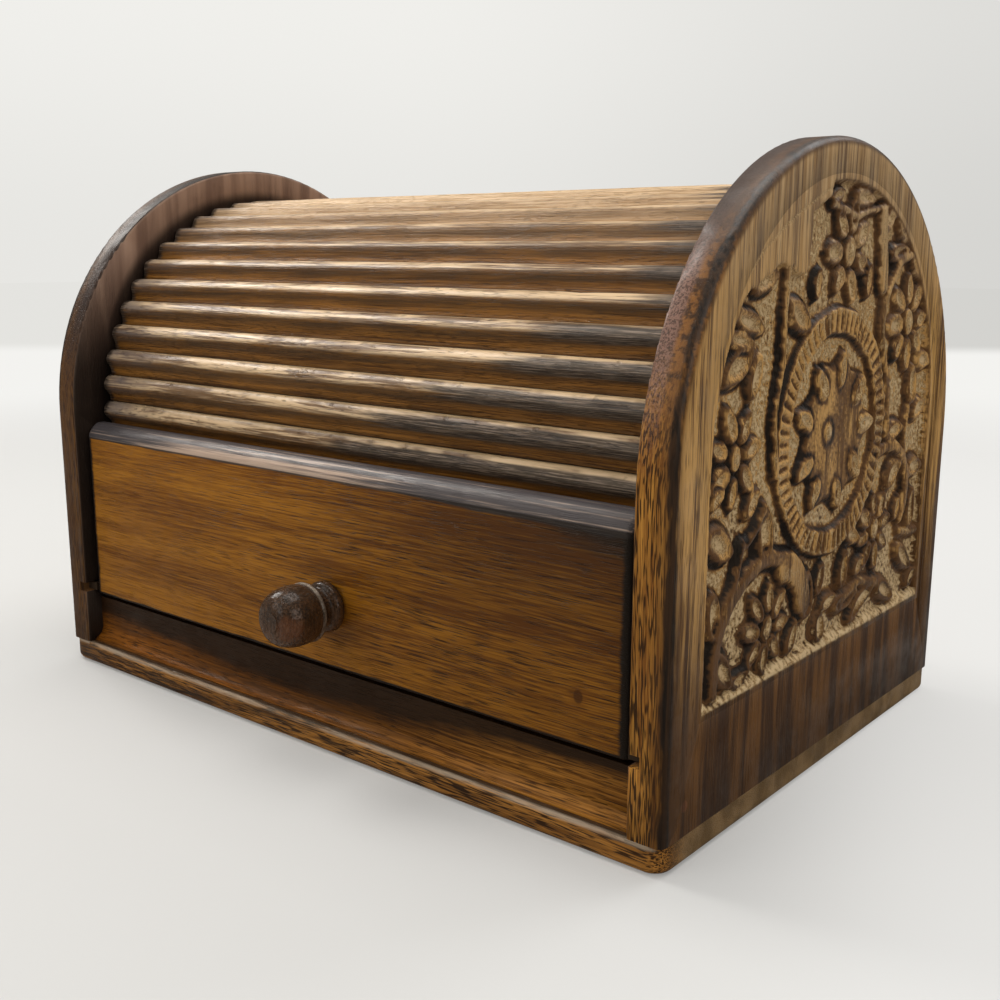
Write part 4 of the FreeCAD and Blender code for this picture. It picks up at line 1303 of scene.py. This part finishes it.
def slat_attributes(mesh, number, shoulder, half):
    """Masks that the material reads: bead, the painted shade under it, riser, dark joints with painted
    shade, the charring of the ends with painted shade next to the panels, and painted sheen at the left
    ends.
    """
    points = np.array([vertex.co for vertex in mesh.vertices])
    x, y, z = points.T
    bead = blend_step(y, -0.6 * MM, 1.3 * MM)
    riser = blend_step(y, half - 0.6 * MM, half - 0.2 * MM)
    under = blend_step(y, -1.9 * MM, -1.1 * MM) * (1.0 - blend_step(y, -0.3 * MM, 1.0 * MM))
    # dark joints, with painted shade deepening towards them and on the slats' flanks near their backs
    joint = 0.8 * blend_step(-y, half - 1.1 * MM, half)
    joint = np.maximum(joint, blend_step(-z, -3.4 * MM, -2.6 * MM))
    low_slats = max(0.0, 1.0 - number / 5.0)
    start = 0.056 - 0.080 * low_slats + 0.016 * noise.noise(Vector((number * 1.7, 0.0, 1.0)))
    crest_band = blend_step(y, -1.6 * MM, -0.4 * MM)
    top_line = blend_step(y, half - 1.5 * MM, half - 0.5 * MM)
    char = blend_step(x, start, start + 0.045) * crest_band
    char = np.maximum(char, 0.6 * low_slats * blend_step(x, -0.04, 0.02) * crest_band)
    char *= 1.0 - 0.9 * top_line * min(1.0, 2.0 * low_slats)
    # painted shade over the last few millimetres next to the panels, folded into the charring mask
    shade_near_panel = blend_step(np.abs(x), shoulder - 3.0 * MM, shoulder - 0.3 * MM) * 0.95
    char = np.clip(np.maximum(char, shade_near_panel), 0, 1)
    # painted blue-grey sheen at the slats' left ends
    grey = blend_step(-x, shoulder - 0.034, shoulder - 0.002) * blend_step(y, -1.6 * MM, 0.6 * MM)
    for label, values in (("bead", bead), ("riser", riser), ("joint", joint), ("char", char), ("grey", grey),
                          ("under", under), ("slat_number", np.full(len(points), number * 0.03))):
        add_attribute(mesh, label, values)
    add_uv(mesh, "along and across", list(zip(x, y + z)))


def place_slat(master, node, number, body, sizes, shoulder, material):
    """Copy the master slat to a CAD slat's seat, with its own wobble."""
    seat, outward = slat_seat(node)
    along = outward.cross(Vector((1, 0, 0)))
    half = slat_section()[0] / 2
    back_radius = math.hypot(seat.y, seat.z - arch_centre_z)
    half_angle = pitch_angle() / 2
    piece = copy_piece(master, "worn_" + node)
    mesh = piece.data
    slat_attributes(mesh, number, shoulder, half)
    for vertex in mesh.vertices:
        place = vertex.co
        if place.z < sizes.tongue + 0.2 * MM:
            continue
        sway = noise.noise(Vector((place.x * 30.0, number * 3.1, 0.0)))
        ripple = noise.noise(Vector((place.x * 110.0, place.y * 420.0, number * 5.3)))
        nick = max(noise.noise(Vector((place.x * 75.0, place.y * 150.0, number * 9.7))) - 0.42, 0.0)
        lift = sizes.wobble * (0.45 + 0.5 * sway + 0.6 * ripple) + 2.4 * MM * nick * nick
        if body == "tambour":
            # the sides lean out to meet their neighbours over the arch
            reach = (back_radius + place.z) * math.tan(half_angle) - 0.07 * MM
            place.y *= reach / half
        place.z -= max(lift, 0.0)
    turn = Matrix((Vector((1, 0, 0)), along, outward)).transposed().to_4x4()
    mesh.transform(Matrix.Translation(seat) @ turn)
    smooth(piece, 50)
    finish_piece(piece, body, "slat_wood", material, node)


def pitch_angle():
    """The angle between two neighbouring slats on the arch."""
    first, second = slat_seat("tambour_slat_02")[1], slat_seat("tambour_slat_03")[1]
    return first.angle(second)


# ---------------------------------------------------------------- drawer, knob and cloth

def drawer_front(sizes, material):
    """The drawer's front board: burnished bevel, rounded ends and a rebate for the bottom."""
    low, high = drawer_low, drawer_high
    board = add_block("worn_drawer_front", low, high)
    bottom_low, bottom_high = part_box("drawer_bottom")
    rebate = add_block("rebate_cutter", (bottom_low.x, high.y - sizes.rebate, bottom_low.z),
                       (bottom_high.x, high.y + MM, bottom_high.z))
    cut_away(board, rebate)
    edit(board)
    bevel_edge(board, low.y, high.z, offset=sizes.bevel, segments=7, profile=0.42)
    bevel_edge(board, low.y, low.z, offset=sizes.foot_round, segments=3, profile=0.5)
    stations = [high.x - sizes.end_round * share for share in (0.06, 0.2, 0.4, 0.7, 1.0)]
    spacing = 4.0 * MM
    stations += [n * spacing for n in range(1, int((high.x - 3 * MM) / spacing) + 1)]
    for x in stations:
        bisect_all((x, 0, 0), (1, 0, 0))
        bisect_all((-x, 0, 0), (1, 0, 0))
    leave_edit()
    deep = high.y - low.y
    for vertex in board.data.vertices:
        over = max(abs(vertex.co.x) - (high.x - sizes.end_round), 0.0) / sizes.end_round
        inset = sizes.end_round * (1.0 - math.sqrt(max(1.0 - over * over, 0.0)))
        forward = (high.y - vertex.co.y) / deep
        waver = noise.noise(Vector((vertex.co.x * 55.0, 0.0, vertex.co.z * 20.0)))
        on_edge = vertex.co.z > high.z - 3.9 * MM or vertex.co.z < low.z + MM
        inset += 0.16 * MM * (1.0 + waver) * on_edge
        vertex.co.y += inset * forward
    smooth(board, 40)
    return finish_piece(board, "drawer", "drawer_front_wood", material, "drawer_front")


def rail(material):
    """The rail under the drawer, with its cove shaded round."""
    piece = copy_of_node("front_rail", "coved_rail")
    smooth(piece, 40)
    return finish_piece(piece, "box", "carcass_wood", material, "front_rail")


# The back rim of the knob's head, in millimetres: in from the head's radius, and out along the peg.
HEAD_RIM = ((1.3, -0.55), (0.4, -0.2), (0.05, 0.15), (0.05, 0.6), (0.40, 0.95), (0.30, 1.4), (0.08, 2.2))


def knob(sizes, material):
    """The turned knob: a profile spun round the peg."""
    peg_low, peg_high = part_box("knob_peg")
    _, knob_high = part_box("drawer_knob")
    centre_x, centre_z = (peg_low.x + peg_high.x) / 2, (peg_low.z + peg_high.z) / 2
    peg_radius = (peg_high.x - peg_low.x) / 2
    face_y = knob_high.y
    flange, neck, head = sizes.flange_radius, sizes.neck_radius, sizes.head_radius
    front, rim = sizes.flange_thickness, sizes.rim_start
    profile = [(peg_radius, 0.0), (flange - 0.5 * MM, 0.0), (flange, 0.6 * MM), (flange, front - 1.0 * MM),
               (flange - 0.35 * MM, front - 0.35 * MM), (flange - 0.9 * MM, front)]
    steps = 6
    for n in range(steps + 1):
        share = n / steps
        out = front + (0.03 + 0.97 * share) * (sizes.neck_end - front)
        profile.append((neck + 0.4 * MM * (2 * share - 1) ** 2, out))
    profile += [(head - under * MM, rim + out * MM) for under, out in HEAD_RIM]
    profile.append((head, sizes.rim_end - 0.6 * MM))
    dome_steps = 12
    for n in range(1, dome_steps + 1):
        angle = math.pi / 2 * n / dome_steps
        radius = peg_radius + (head - peg_radius) * max(math.cos(angle), 0.0) ** 0.80
        out = sizes.rim_end + (sizes.dome_end - sizes.rim_end) * math.sin(angle)
        profile.append((radius, out))
    mesh = bpy.data.meshes.new("turned_knob")
    points = [(centre_x + radius, face_y - out, centre_z) for radius, out in profile]
    mesh.from_pydata(points, [(n, (n + 1) % len(points)) for n in range(len(points))], [])
    piece = bpy.data.objects.new("turned_knob", mesh)
    bpy.context.collection.objects.link(piece)
    edit(piece)
    bpy.ops.mesh.select_all(action="SELECT")
    bpy.ops.mesh.spin(steps=72, angle=2 * math.pi, center=(centre_x, 0.0, centre_z), axis=(0.0, 1.0, 0.0))
    bpy.ops.mesh.select_all(action="SELECT")
    bpy.ops.mesh.remove_doubles(threshold=0.01 * MM)
    face_outward()
    leave_edit()
    for vertex in mesh.vertices:
        dent = noise.noise(vertex.co * 260.0)
        outward = Vector((vertex.co.x - centre_x, 0, vertex.co.z - centre_z)).normalized()
        vertex.co += 0.10 * MM * dent * outward
    smooth(piece, 45)
    return finish_piece(piece, "drawer", "dark_turned_wood", material, "drawer_knob")


def lay_cloth(name, across, along, laid, offset):
    """A woven sheet: laid turns a point of a square into its place and its place on the flat cloth."""
    piece = add_piece(name, bpy.ops.mesh.primitive_grid_add, x_subdivisions=across,
                      y_subdivisions=along, size=1)
    flat = []
    for vertex in piece.data.vertices:
        vertex.co, weave = laid(vertex.co.x, vertex.co.y)
        flat.append(weave)
    add_uv(piece.data, "cloth", flat)
    apply_modifier(piece, "SOLIDIFY", thickness=0.3 * MM, offset=offset)
    edit(piece)
    face_outward()
    leave_edit()
    smooth(piece, 50)
    return piece


def tambour_cloth(material):
    """The canvas on the backs of the tambour slats, bent round the arch."""
    low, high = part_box("tambour_canvas")
    seats = [slat_seat(node)[0] for node in sorted(frame["nodes"]) if node.startswith("tambour_slat_")]
    radius = math.hypot(seats[0].y, seats[0].z - arch_centre_z)
    angles = [math.atan2(seat.z - arch_centre_z, -seat.y) % (2 * math.pi) for seat in seats]
    if angles[0] > math.pi:
        angles[0] -= 2 * math.pi
    pitch = angles[1] - angles[0]
    first, last = angles[0] - pitch / 2, angles[-1] + pitch / 2
    wide, flat_length = high.x - low.x, radius * (last - first)
    under_slats = radius * math.cos(pitch / 2) - 0.05 * MM

    def laid(across, along):
        x, share = across * wide, along + 0.5
        angle = first + share * (last - first)
        place = (x, -under_slats * math.cos(angle), arch_centre_z + under_slats * math.sin(angle))
        return place, (x, share * flat_length)

    piece = lay_cloth("tambour_cloth", 24, 150, laid, -1.0)
    finish_piece(piece, "tambour", "canvas", material, "tambour_canvas")


def pull_cloth(material):
    """The end of the canvas, glued over the drawer's bottom and the pull slat."""
    low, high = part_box("pull_canvas")
    wide, deep = high.x - low.x, high.y - low.y

    def laid(across, along):
        x, y = across * wide, (low.y + high.y) / 2 + along * deep
        lift = 0.04 * MM * noise.noise(Vector((x * 300.0, y * 300.0, 0.0)))
        return (x, y, low.z + 0.06 * MM + lift), (x, y)

    piece = lay_cloth("pull_cloth", 120, 8, laid, 1.0)
    finish_piece(piece, "drawer", "canvas", material, "pull_canvas")


# ---------------------------------------------------------------- stage

# The camera's place in metres, its angles in radians and its lens in millimetres.
camera_place = Vector((0.21786, -0.25829, 0.12202))
camera_yaw = -0.68895
camera_pitch = 0.20516
camera_roll = 0.0033
camera_lens = 43.14


def add_camera():
    """The scene's camera, from its yaw, pitch and roll."""
    forward = Vector((math.sin(camera_yaw) * math.cos(camera_pitch),
                      math.cos(camera_yaw) * math.cos(camera_pitch), -math.sin(camera_pitch)))
    level = Vector((math.cos(camera_yaw), -math.sin(camera_yaw), 0.0))
    upright = level.cross(forward)
    right = math.cos(camera_roll) * level + math.sin(camera_roll) * upright
    up = math.cos(camera_roll) * upright - math.sin(camera_roll) * level
    data = bpy.data.cameras.new("camera")
    data.lens = camera_lens
    data.sensor_width = 36.0
    data.clip_start, data.clip_end = 0.01, 20.0
    camera = bpy.data.objects.new("camera", data)
    bpy.context.collection.objects.link(camera)
    turn = Matrix((right, up, -forward)).transposed()
    camera.matrix_world = Matrix.Translation(camera_place) @ turn.to_4x4()
    bpy.context.scene.camera = camera


def add_softbox(name, place, target, wide, high, watts, tint):
    """A soft rectangular lamp turned to a target, which the camera doesn't see."""
    data = bpy.data.lights.new(name, "AREA")
    data.shape = "RECTANGLE"
    data.size, data.size_y = wide, high
    data.energy = watts
    data.color = tint
    lamp = bpy.data.objects.new(name, data)
    bpy.context.collection.objects.link(lamp)
    lamp.location = place
    lamp.visible_camera = False
    lamp.rotation_euler = (Vector(target) - Vector(place)).to_track_quat("-Z", "Y").to_euler()


def sideways(direction):
    """How far a direction points to the right of the camera's view."""
    return vector_maths("DOT_PRODUCT", direction, (math.cos(camera_yaw), -math.sin(camera_yaw), 0.0))


def falling_off(direction, wall):
    """Darken a colour seen in a direction towards the right of the camera's view: painted shade, as the
    light falls off.
    """
    return mix(span(sideways(direction), -0.10, 0.42, 0.0, 0.165), wall, (0.0, 0.0, 0.0))


def mixed_shaders(tree, share, first, second):
    return add_node(tree, "ShaderNodeMixShader", share, Value(first.outputs[0]), Value(second.outputs[0]))


def seen_by_camera(tree, unseen, seen, output):
    """Give the camera one shader, and the light that reaches other things another."""
    ray = outputs_of(add_node(tree, "ShaderNodeLightPath"))["Is Camera Ray"]
    chosen = mixed_shaders(tree, ray, unseen, seen)
    feed(Value(chosen.outputs[0]), tree.nodes[output].inputs["Surface"])


def add_world(level_strength, overhead_strength, backdrop):
    """A sky that is brighter overhead, and a pale wall where the camera looks past the table."""
    world = bpy.data.worlds.new("studio")
    bpy.context.scene.world = world
    world.use_nodes = True
    tree = world.node_tree
    sky = tree.nodes["Background"]
    sky.inputs["Color"].default_value = (1.0, 0.985, 0.955, 1.0)
    direction = outputs_of(add_node(tree, "ShaderNodeTexCoord"))["Generated"]
    z = split(direction)[2]
    feed(span(z, 0.1, 0.9, level_strength, overhead_strength), sky.inputs["Strength"])
    wall = falling_off(direction, mix(span(z, 0.0, 0.19), scaled(backdrop, 0.92), backdrop))
    seen_by_camera(tree, sky, add_node(tree, "ShaderNodeBackground", Color=wall), "World Output")


def add_floor(tint):
    """A pale table that melts into the wall some way behind the object."""
    floor = add_piece("floor", bpy.ops.mesh.primitive_plane_add, size=8.0, location=(0.0, 0.0, cad_low.z))
    tree, shader = new_material("studio floor")
    point = object_point(tree)
    feed(mix(noise_of(point, 1.5, 2.0, 0.5), scaled(tint, 0.985), tint), shader.inputs["Base Color"])
    shader.inputs["Roughness"].default_value = 0.75
    shader.inputs["Specular IOR Level"].default_value = 0.2
    depth = vector_maths("DOT_PRODUCT", point, (math.sin(camera_yaw), math.cos(camera_yaw), 0.0))
    away = vector_maths("LENGTH", point)
    direction = vector_maths("NORMALIZE", vector_maths("SUBTRACT", point, camera_place))
    to_right = sideways(direction)
    # near the object the glow is darker to the left and brighter to the right, evening out the lamps
    close = mix(span(to_right, -0.10, 0.30), (0.68, 0.67, 0.645), (0.90, 0.89, 0.865))
    table = mix(span(away, 0.30, 0.80), close, (0.90, 0.893, 0.865))
    wall = falling_off(direction, (0.78, 0.773, 0.742))
    glow = add_node(tree, "ShaderNodeEmission", Color=mix(span(depth, 1.10, 1.28), table, wall))
    # more glow to the right, painted light that lifts the object's shadow there
    share = larger(span(away, 0.20, 0.85, 0.24, 1.0), span(to_right, 0.15, 0.35, 0.0, 0.32) + 0.24)
    bounce = add_node(tree, "ShaderNodeBsdfDiffuse", Color=(0.34, 0.33, 0.31))
    seen_by_camera(tree, bounce, mixed_shaders(tree, share, shader, glow), "Material Output")
    floor.data.materials.append(bpy.data.materials["studio floor"])


# ---------------------------------------------------------------- operators

class OBJECT_OT_box_finishes(bpy.types.Operator):
    """Mix the finishes and give them to the CAD pieces that show as they are"""
    bl_idname = "object.box_finishes"
    bl_label = "Finishes"

    def execute(self, context):
        make_materials(context.scene.box_colours, context.scene.box_drawer.rebate)
        named = {"base_plate": "base wood", "back_board": "carcass wood",
                 "tray_floor": "inner wood", "tray_front_lip": "inner wood", "tray_rear_lip": "inner wood",
                 "drawer_right_side": "inner wood along", "drawer_left_side": "inner wood along",
                 "drawer_back": "inner wood", "drawer_bottom": "bottom wood", "knob_peg": "knob wood",
                 "rail_pegs": "peg wood", "base_screws": "screw steel"}
        for node, label in named.items():
            mesh = frame["nodes"][node].data
            mesh.materials.clear()
            mesh.materials.append(bpy.data.materials[label])
        return {"FINISHED"}


class OBJECT_OT_box_end_panels(bpy.types.Operator):
    """Build the two carved end panels"""
    bl_idname = "object.box_end_panels"
    bl_label = "End panels"

    def execute(self, context):
        sizes = context.scene.box_carving
        material = bpy.data.materials["panel wood"]
        right = end_panel("carved_right_panel", "right_end_panel", sizes, material)
        left = copy_piece(right, "carved_left_panel")
        del left["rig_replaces"]
        left.data.transform(Matrix.Scale(-1, 4, (1, 0, 0)))
        left.data.flip_normals()
        finish_piece(left, "box", "panel_wood", material, "left_end_panel")
        return {"FINISHED"}


class OBJECT_OT_box_slats(bpy.types.Operator):
    """Build every slat from one master, each with its own wear"""
    bl_idname = "object.box_slats"
    bl_label = "Slats"

    def execute(self, context):
        sizes = context.scene.box_slats
        material = bpy.data.materials["slat wood"]
        plain, shoulder = master_slat(sizes)
        tongued = copy_piece(plain, "tongued_slat")
        add_tongues(tongued, shoulder, sizes)
        bodies = frame["record"]["behaviour"]["bodies"]
        number = 0
        for body in ("tambour", *sorted(b for b in bodies if b.startswith("rear_slat")), "drawer"):
            for node in sorted(n for n in bodies[body] if "_slat" in n):
                master = plain if body.startswith("rear_slat") else tongued
                place_slat(master, node, number, body, sizes, shoulder, material)
                number += 1
        bpy.data.objects.remove(plain)
        bpy.data.objects.remove(tongued)
        return {"FINISHED"}


class OBJECT_OT_box_drawer_front(bpy.types.Operator):
    """Build the drawer front and the rail under it"""
    bl_idname = "object.box_drawer_front"
    bl_label = "Drawer front"

    def execute(self, context):
        drawer_front(context.scene.box_drawer, bpy.data.materials["drawer front wood"])
        rail(bpy.data.materials["rail wood"])
        return {"FINISHED"}


class OBJECT_OT_box_knob(bpy.types.Operator):
    """Turn the knob"""
    bl_idname = "object.box_knob"
    bl_label = "Knob"

    def execute(self, context):
        knob(context.scene.box_knob, bpy.data.materials["knob wood"])
        return {"FINISHED"}


class OBJECT_OT_box_cloth(bpy.types.Operator):
    """Glue the canvas on the slats' backs"""
    bl_idname = "object.box_cloth"
    bl_label = "Canvas"

    def execute(self, context):
        tambour_cloth(bpy.data.materials["canvas"])
        pull_cloth(bpy.data.materials["canvas"])
        return {"FINISHED"}


class OBJECT_OT_box_stage(bpy.types.Operator):
    """Set the camera, the floor and the soft lights"""
    bl_idname = "object.box_stage"
    bl_label = "Stage"

    def execute(self, context):
        context.scene.view_settings.view_transform = "Standard"
        colours = context.scene.box_colours
        add_camera()
        add_floor(colours.floor)
        add_world(0.14, 0.45, colours.backdrop)
        middle = (0.0, 0.0, 0.08)
        add_softbox("overhead", (0.0, 0.12, 1.05), middle, 0.8, 0.8, 6.0, (1.0, 0.99, 0.97))
        add_softbox("left key", (-0.75, -0.06, 0.76), middle, 0.4, 0.4, 6.0, (1.0, 0.985, 0.96))
        add_softbox("back sheen", (0.30, 0.76, 0.82), middle, 0.5, 0.5, 2.6, (0.96, 0.98, 1.0))
        add_softbox("front fill", (-0.35, -1.0, 0.52), middle, 0.8, 0.8, 3.4, (1.0, 0.98, 0.95))
        add_softbox("right fill", (1.0, -0.30, 0.52), middle, 0.8, 0.8, 2.9, (1.0, 0.98, 0.95))
        return {"FINISHED"}


class VIEW3D_PT_tambour_box(bpy.types.Panel):
    """Buttons for each part of the box"""
    bl_idname = "VIEW3D_PT_tambour_box"
    bl_label = "Tambour box"
    bl_space_type = "VIEW_3D"
    bl_region_type = "UI"
    bl_category = "Tambour box"

    def draw(self, context):
        for operator in OPERATORS:
            self.layout.operator(operator.bl_idname)
        for group in GROUPS:
            settings = getattr(context.scene, group)
            box = self.layout.box()
            for key in settings.bl_rna.properties.keys():
                if key not in ("rna_type", "name"):
                    box.prop(settings, key)


OPERATORS = (OBJECT_OT_box_finishes, OBJECT_OT_box_end_panels, OBJECT_OT_box_slats,
             OBJECT_OT_box_drawer_front, OBJECT_OT_box_knob, OBJECT_OT_box_cloth, OBJECT_OT_box_stage)


def register():
    for kind in (*GROUPS.values(), *OPERATORS, VIEW3D_PT_tambour_box):
        bpy.utils.register_class(kind)
    for name, kind in GROUPS.items():
        setattr(bpy.types.Scene, name, bpy.props.PointerProperty(type=kind))


def unregister():
    for name in GROUPS:
        delattr(bpy.types.Scene, name)
    for kind in (VIEW3D_PT_tambour_box, *reversed(OPERATORS), *reversed(tuple(GROUPS.values()))):
        bpy.utils.unregister_class(kind)


def main():
    register()
    bpy.ops.object.box_finishes()
    bpy.ops.object.box_end_panels()
    bpy.ops.object.box_slats()
    bpy.ops.object.box_drawer_front()
    bpy.ops.object.box_knob()
    bpy.ops.object.box_cloth()
    bpy.ops.object.box_stage()


if __name__ == "__main__":
    main()
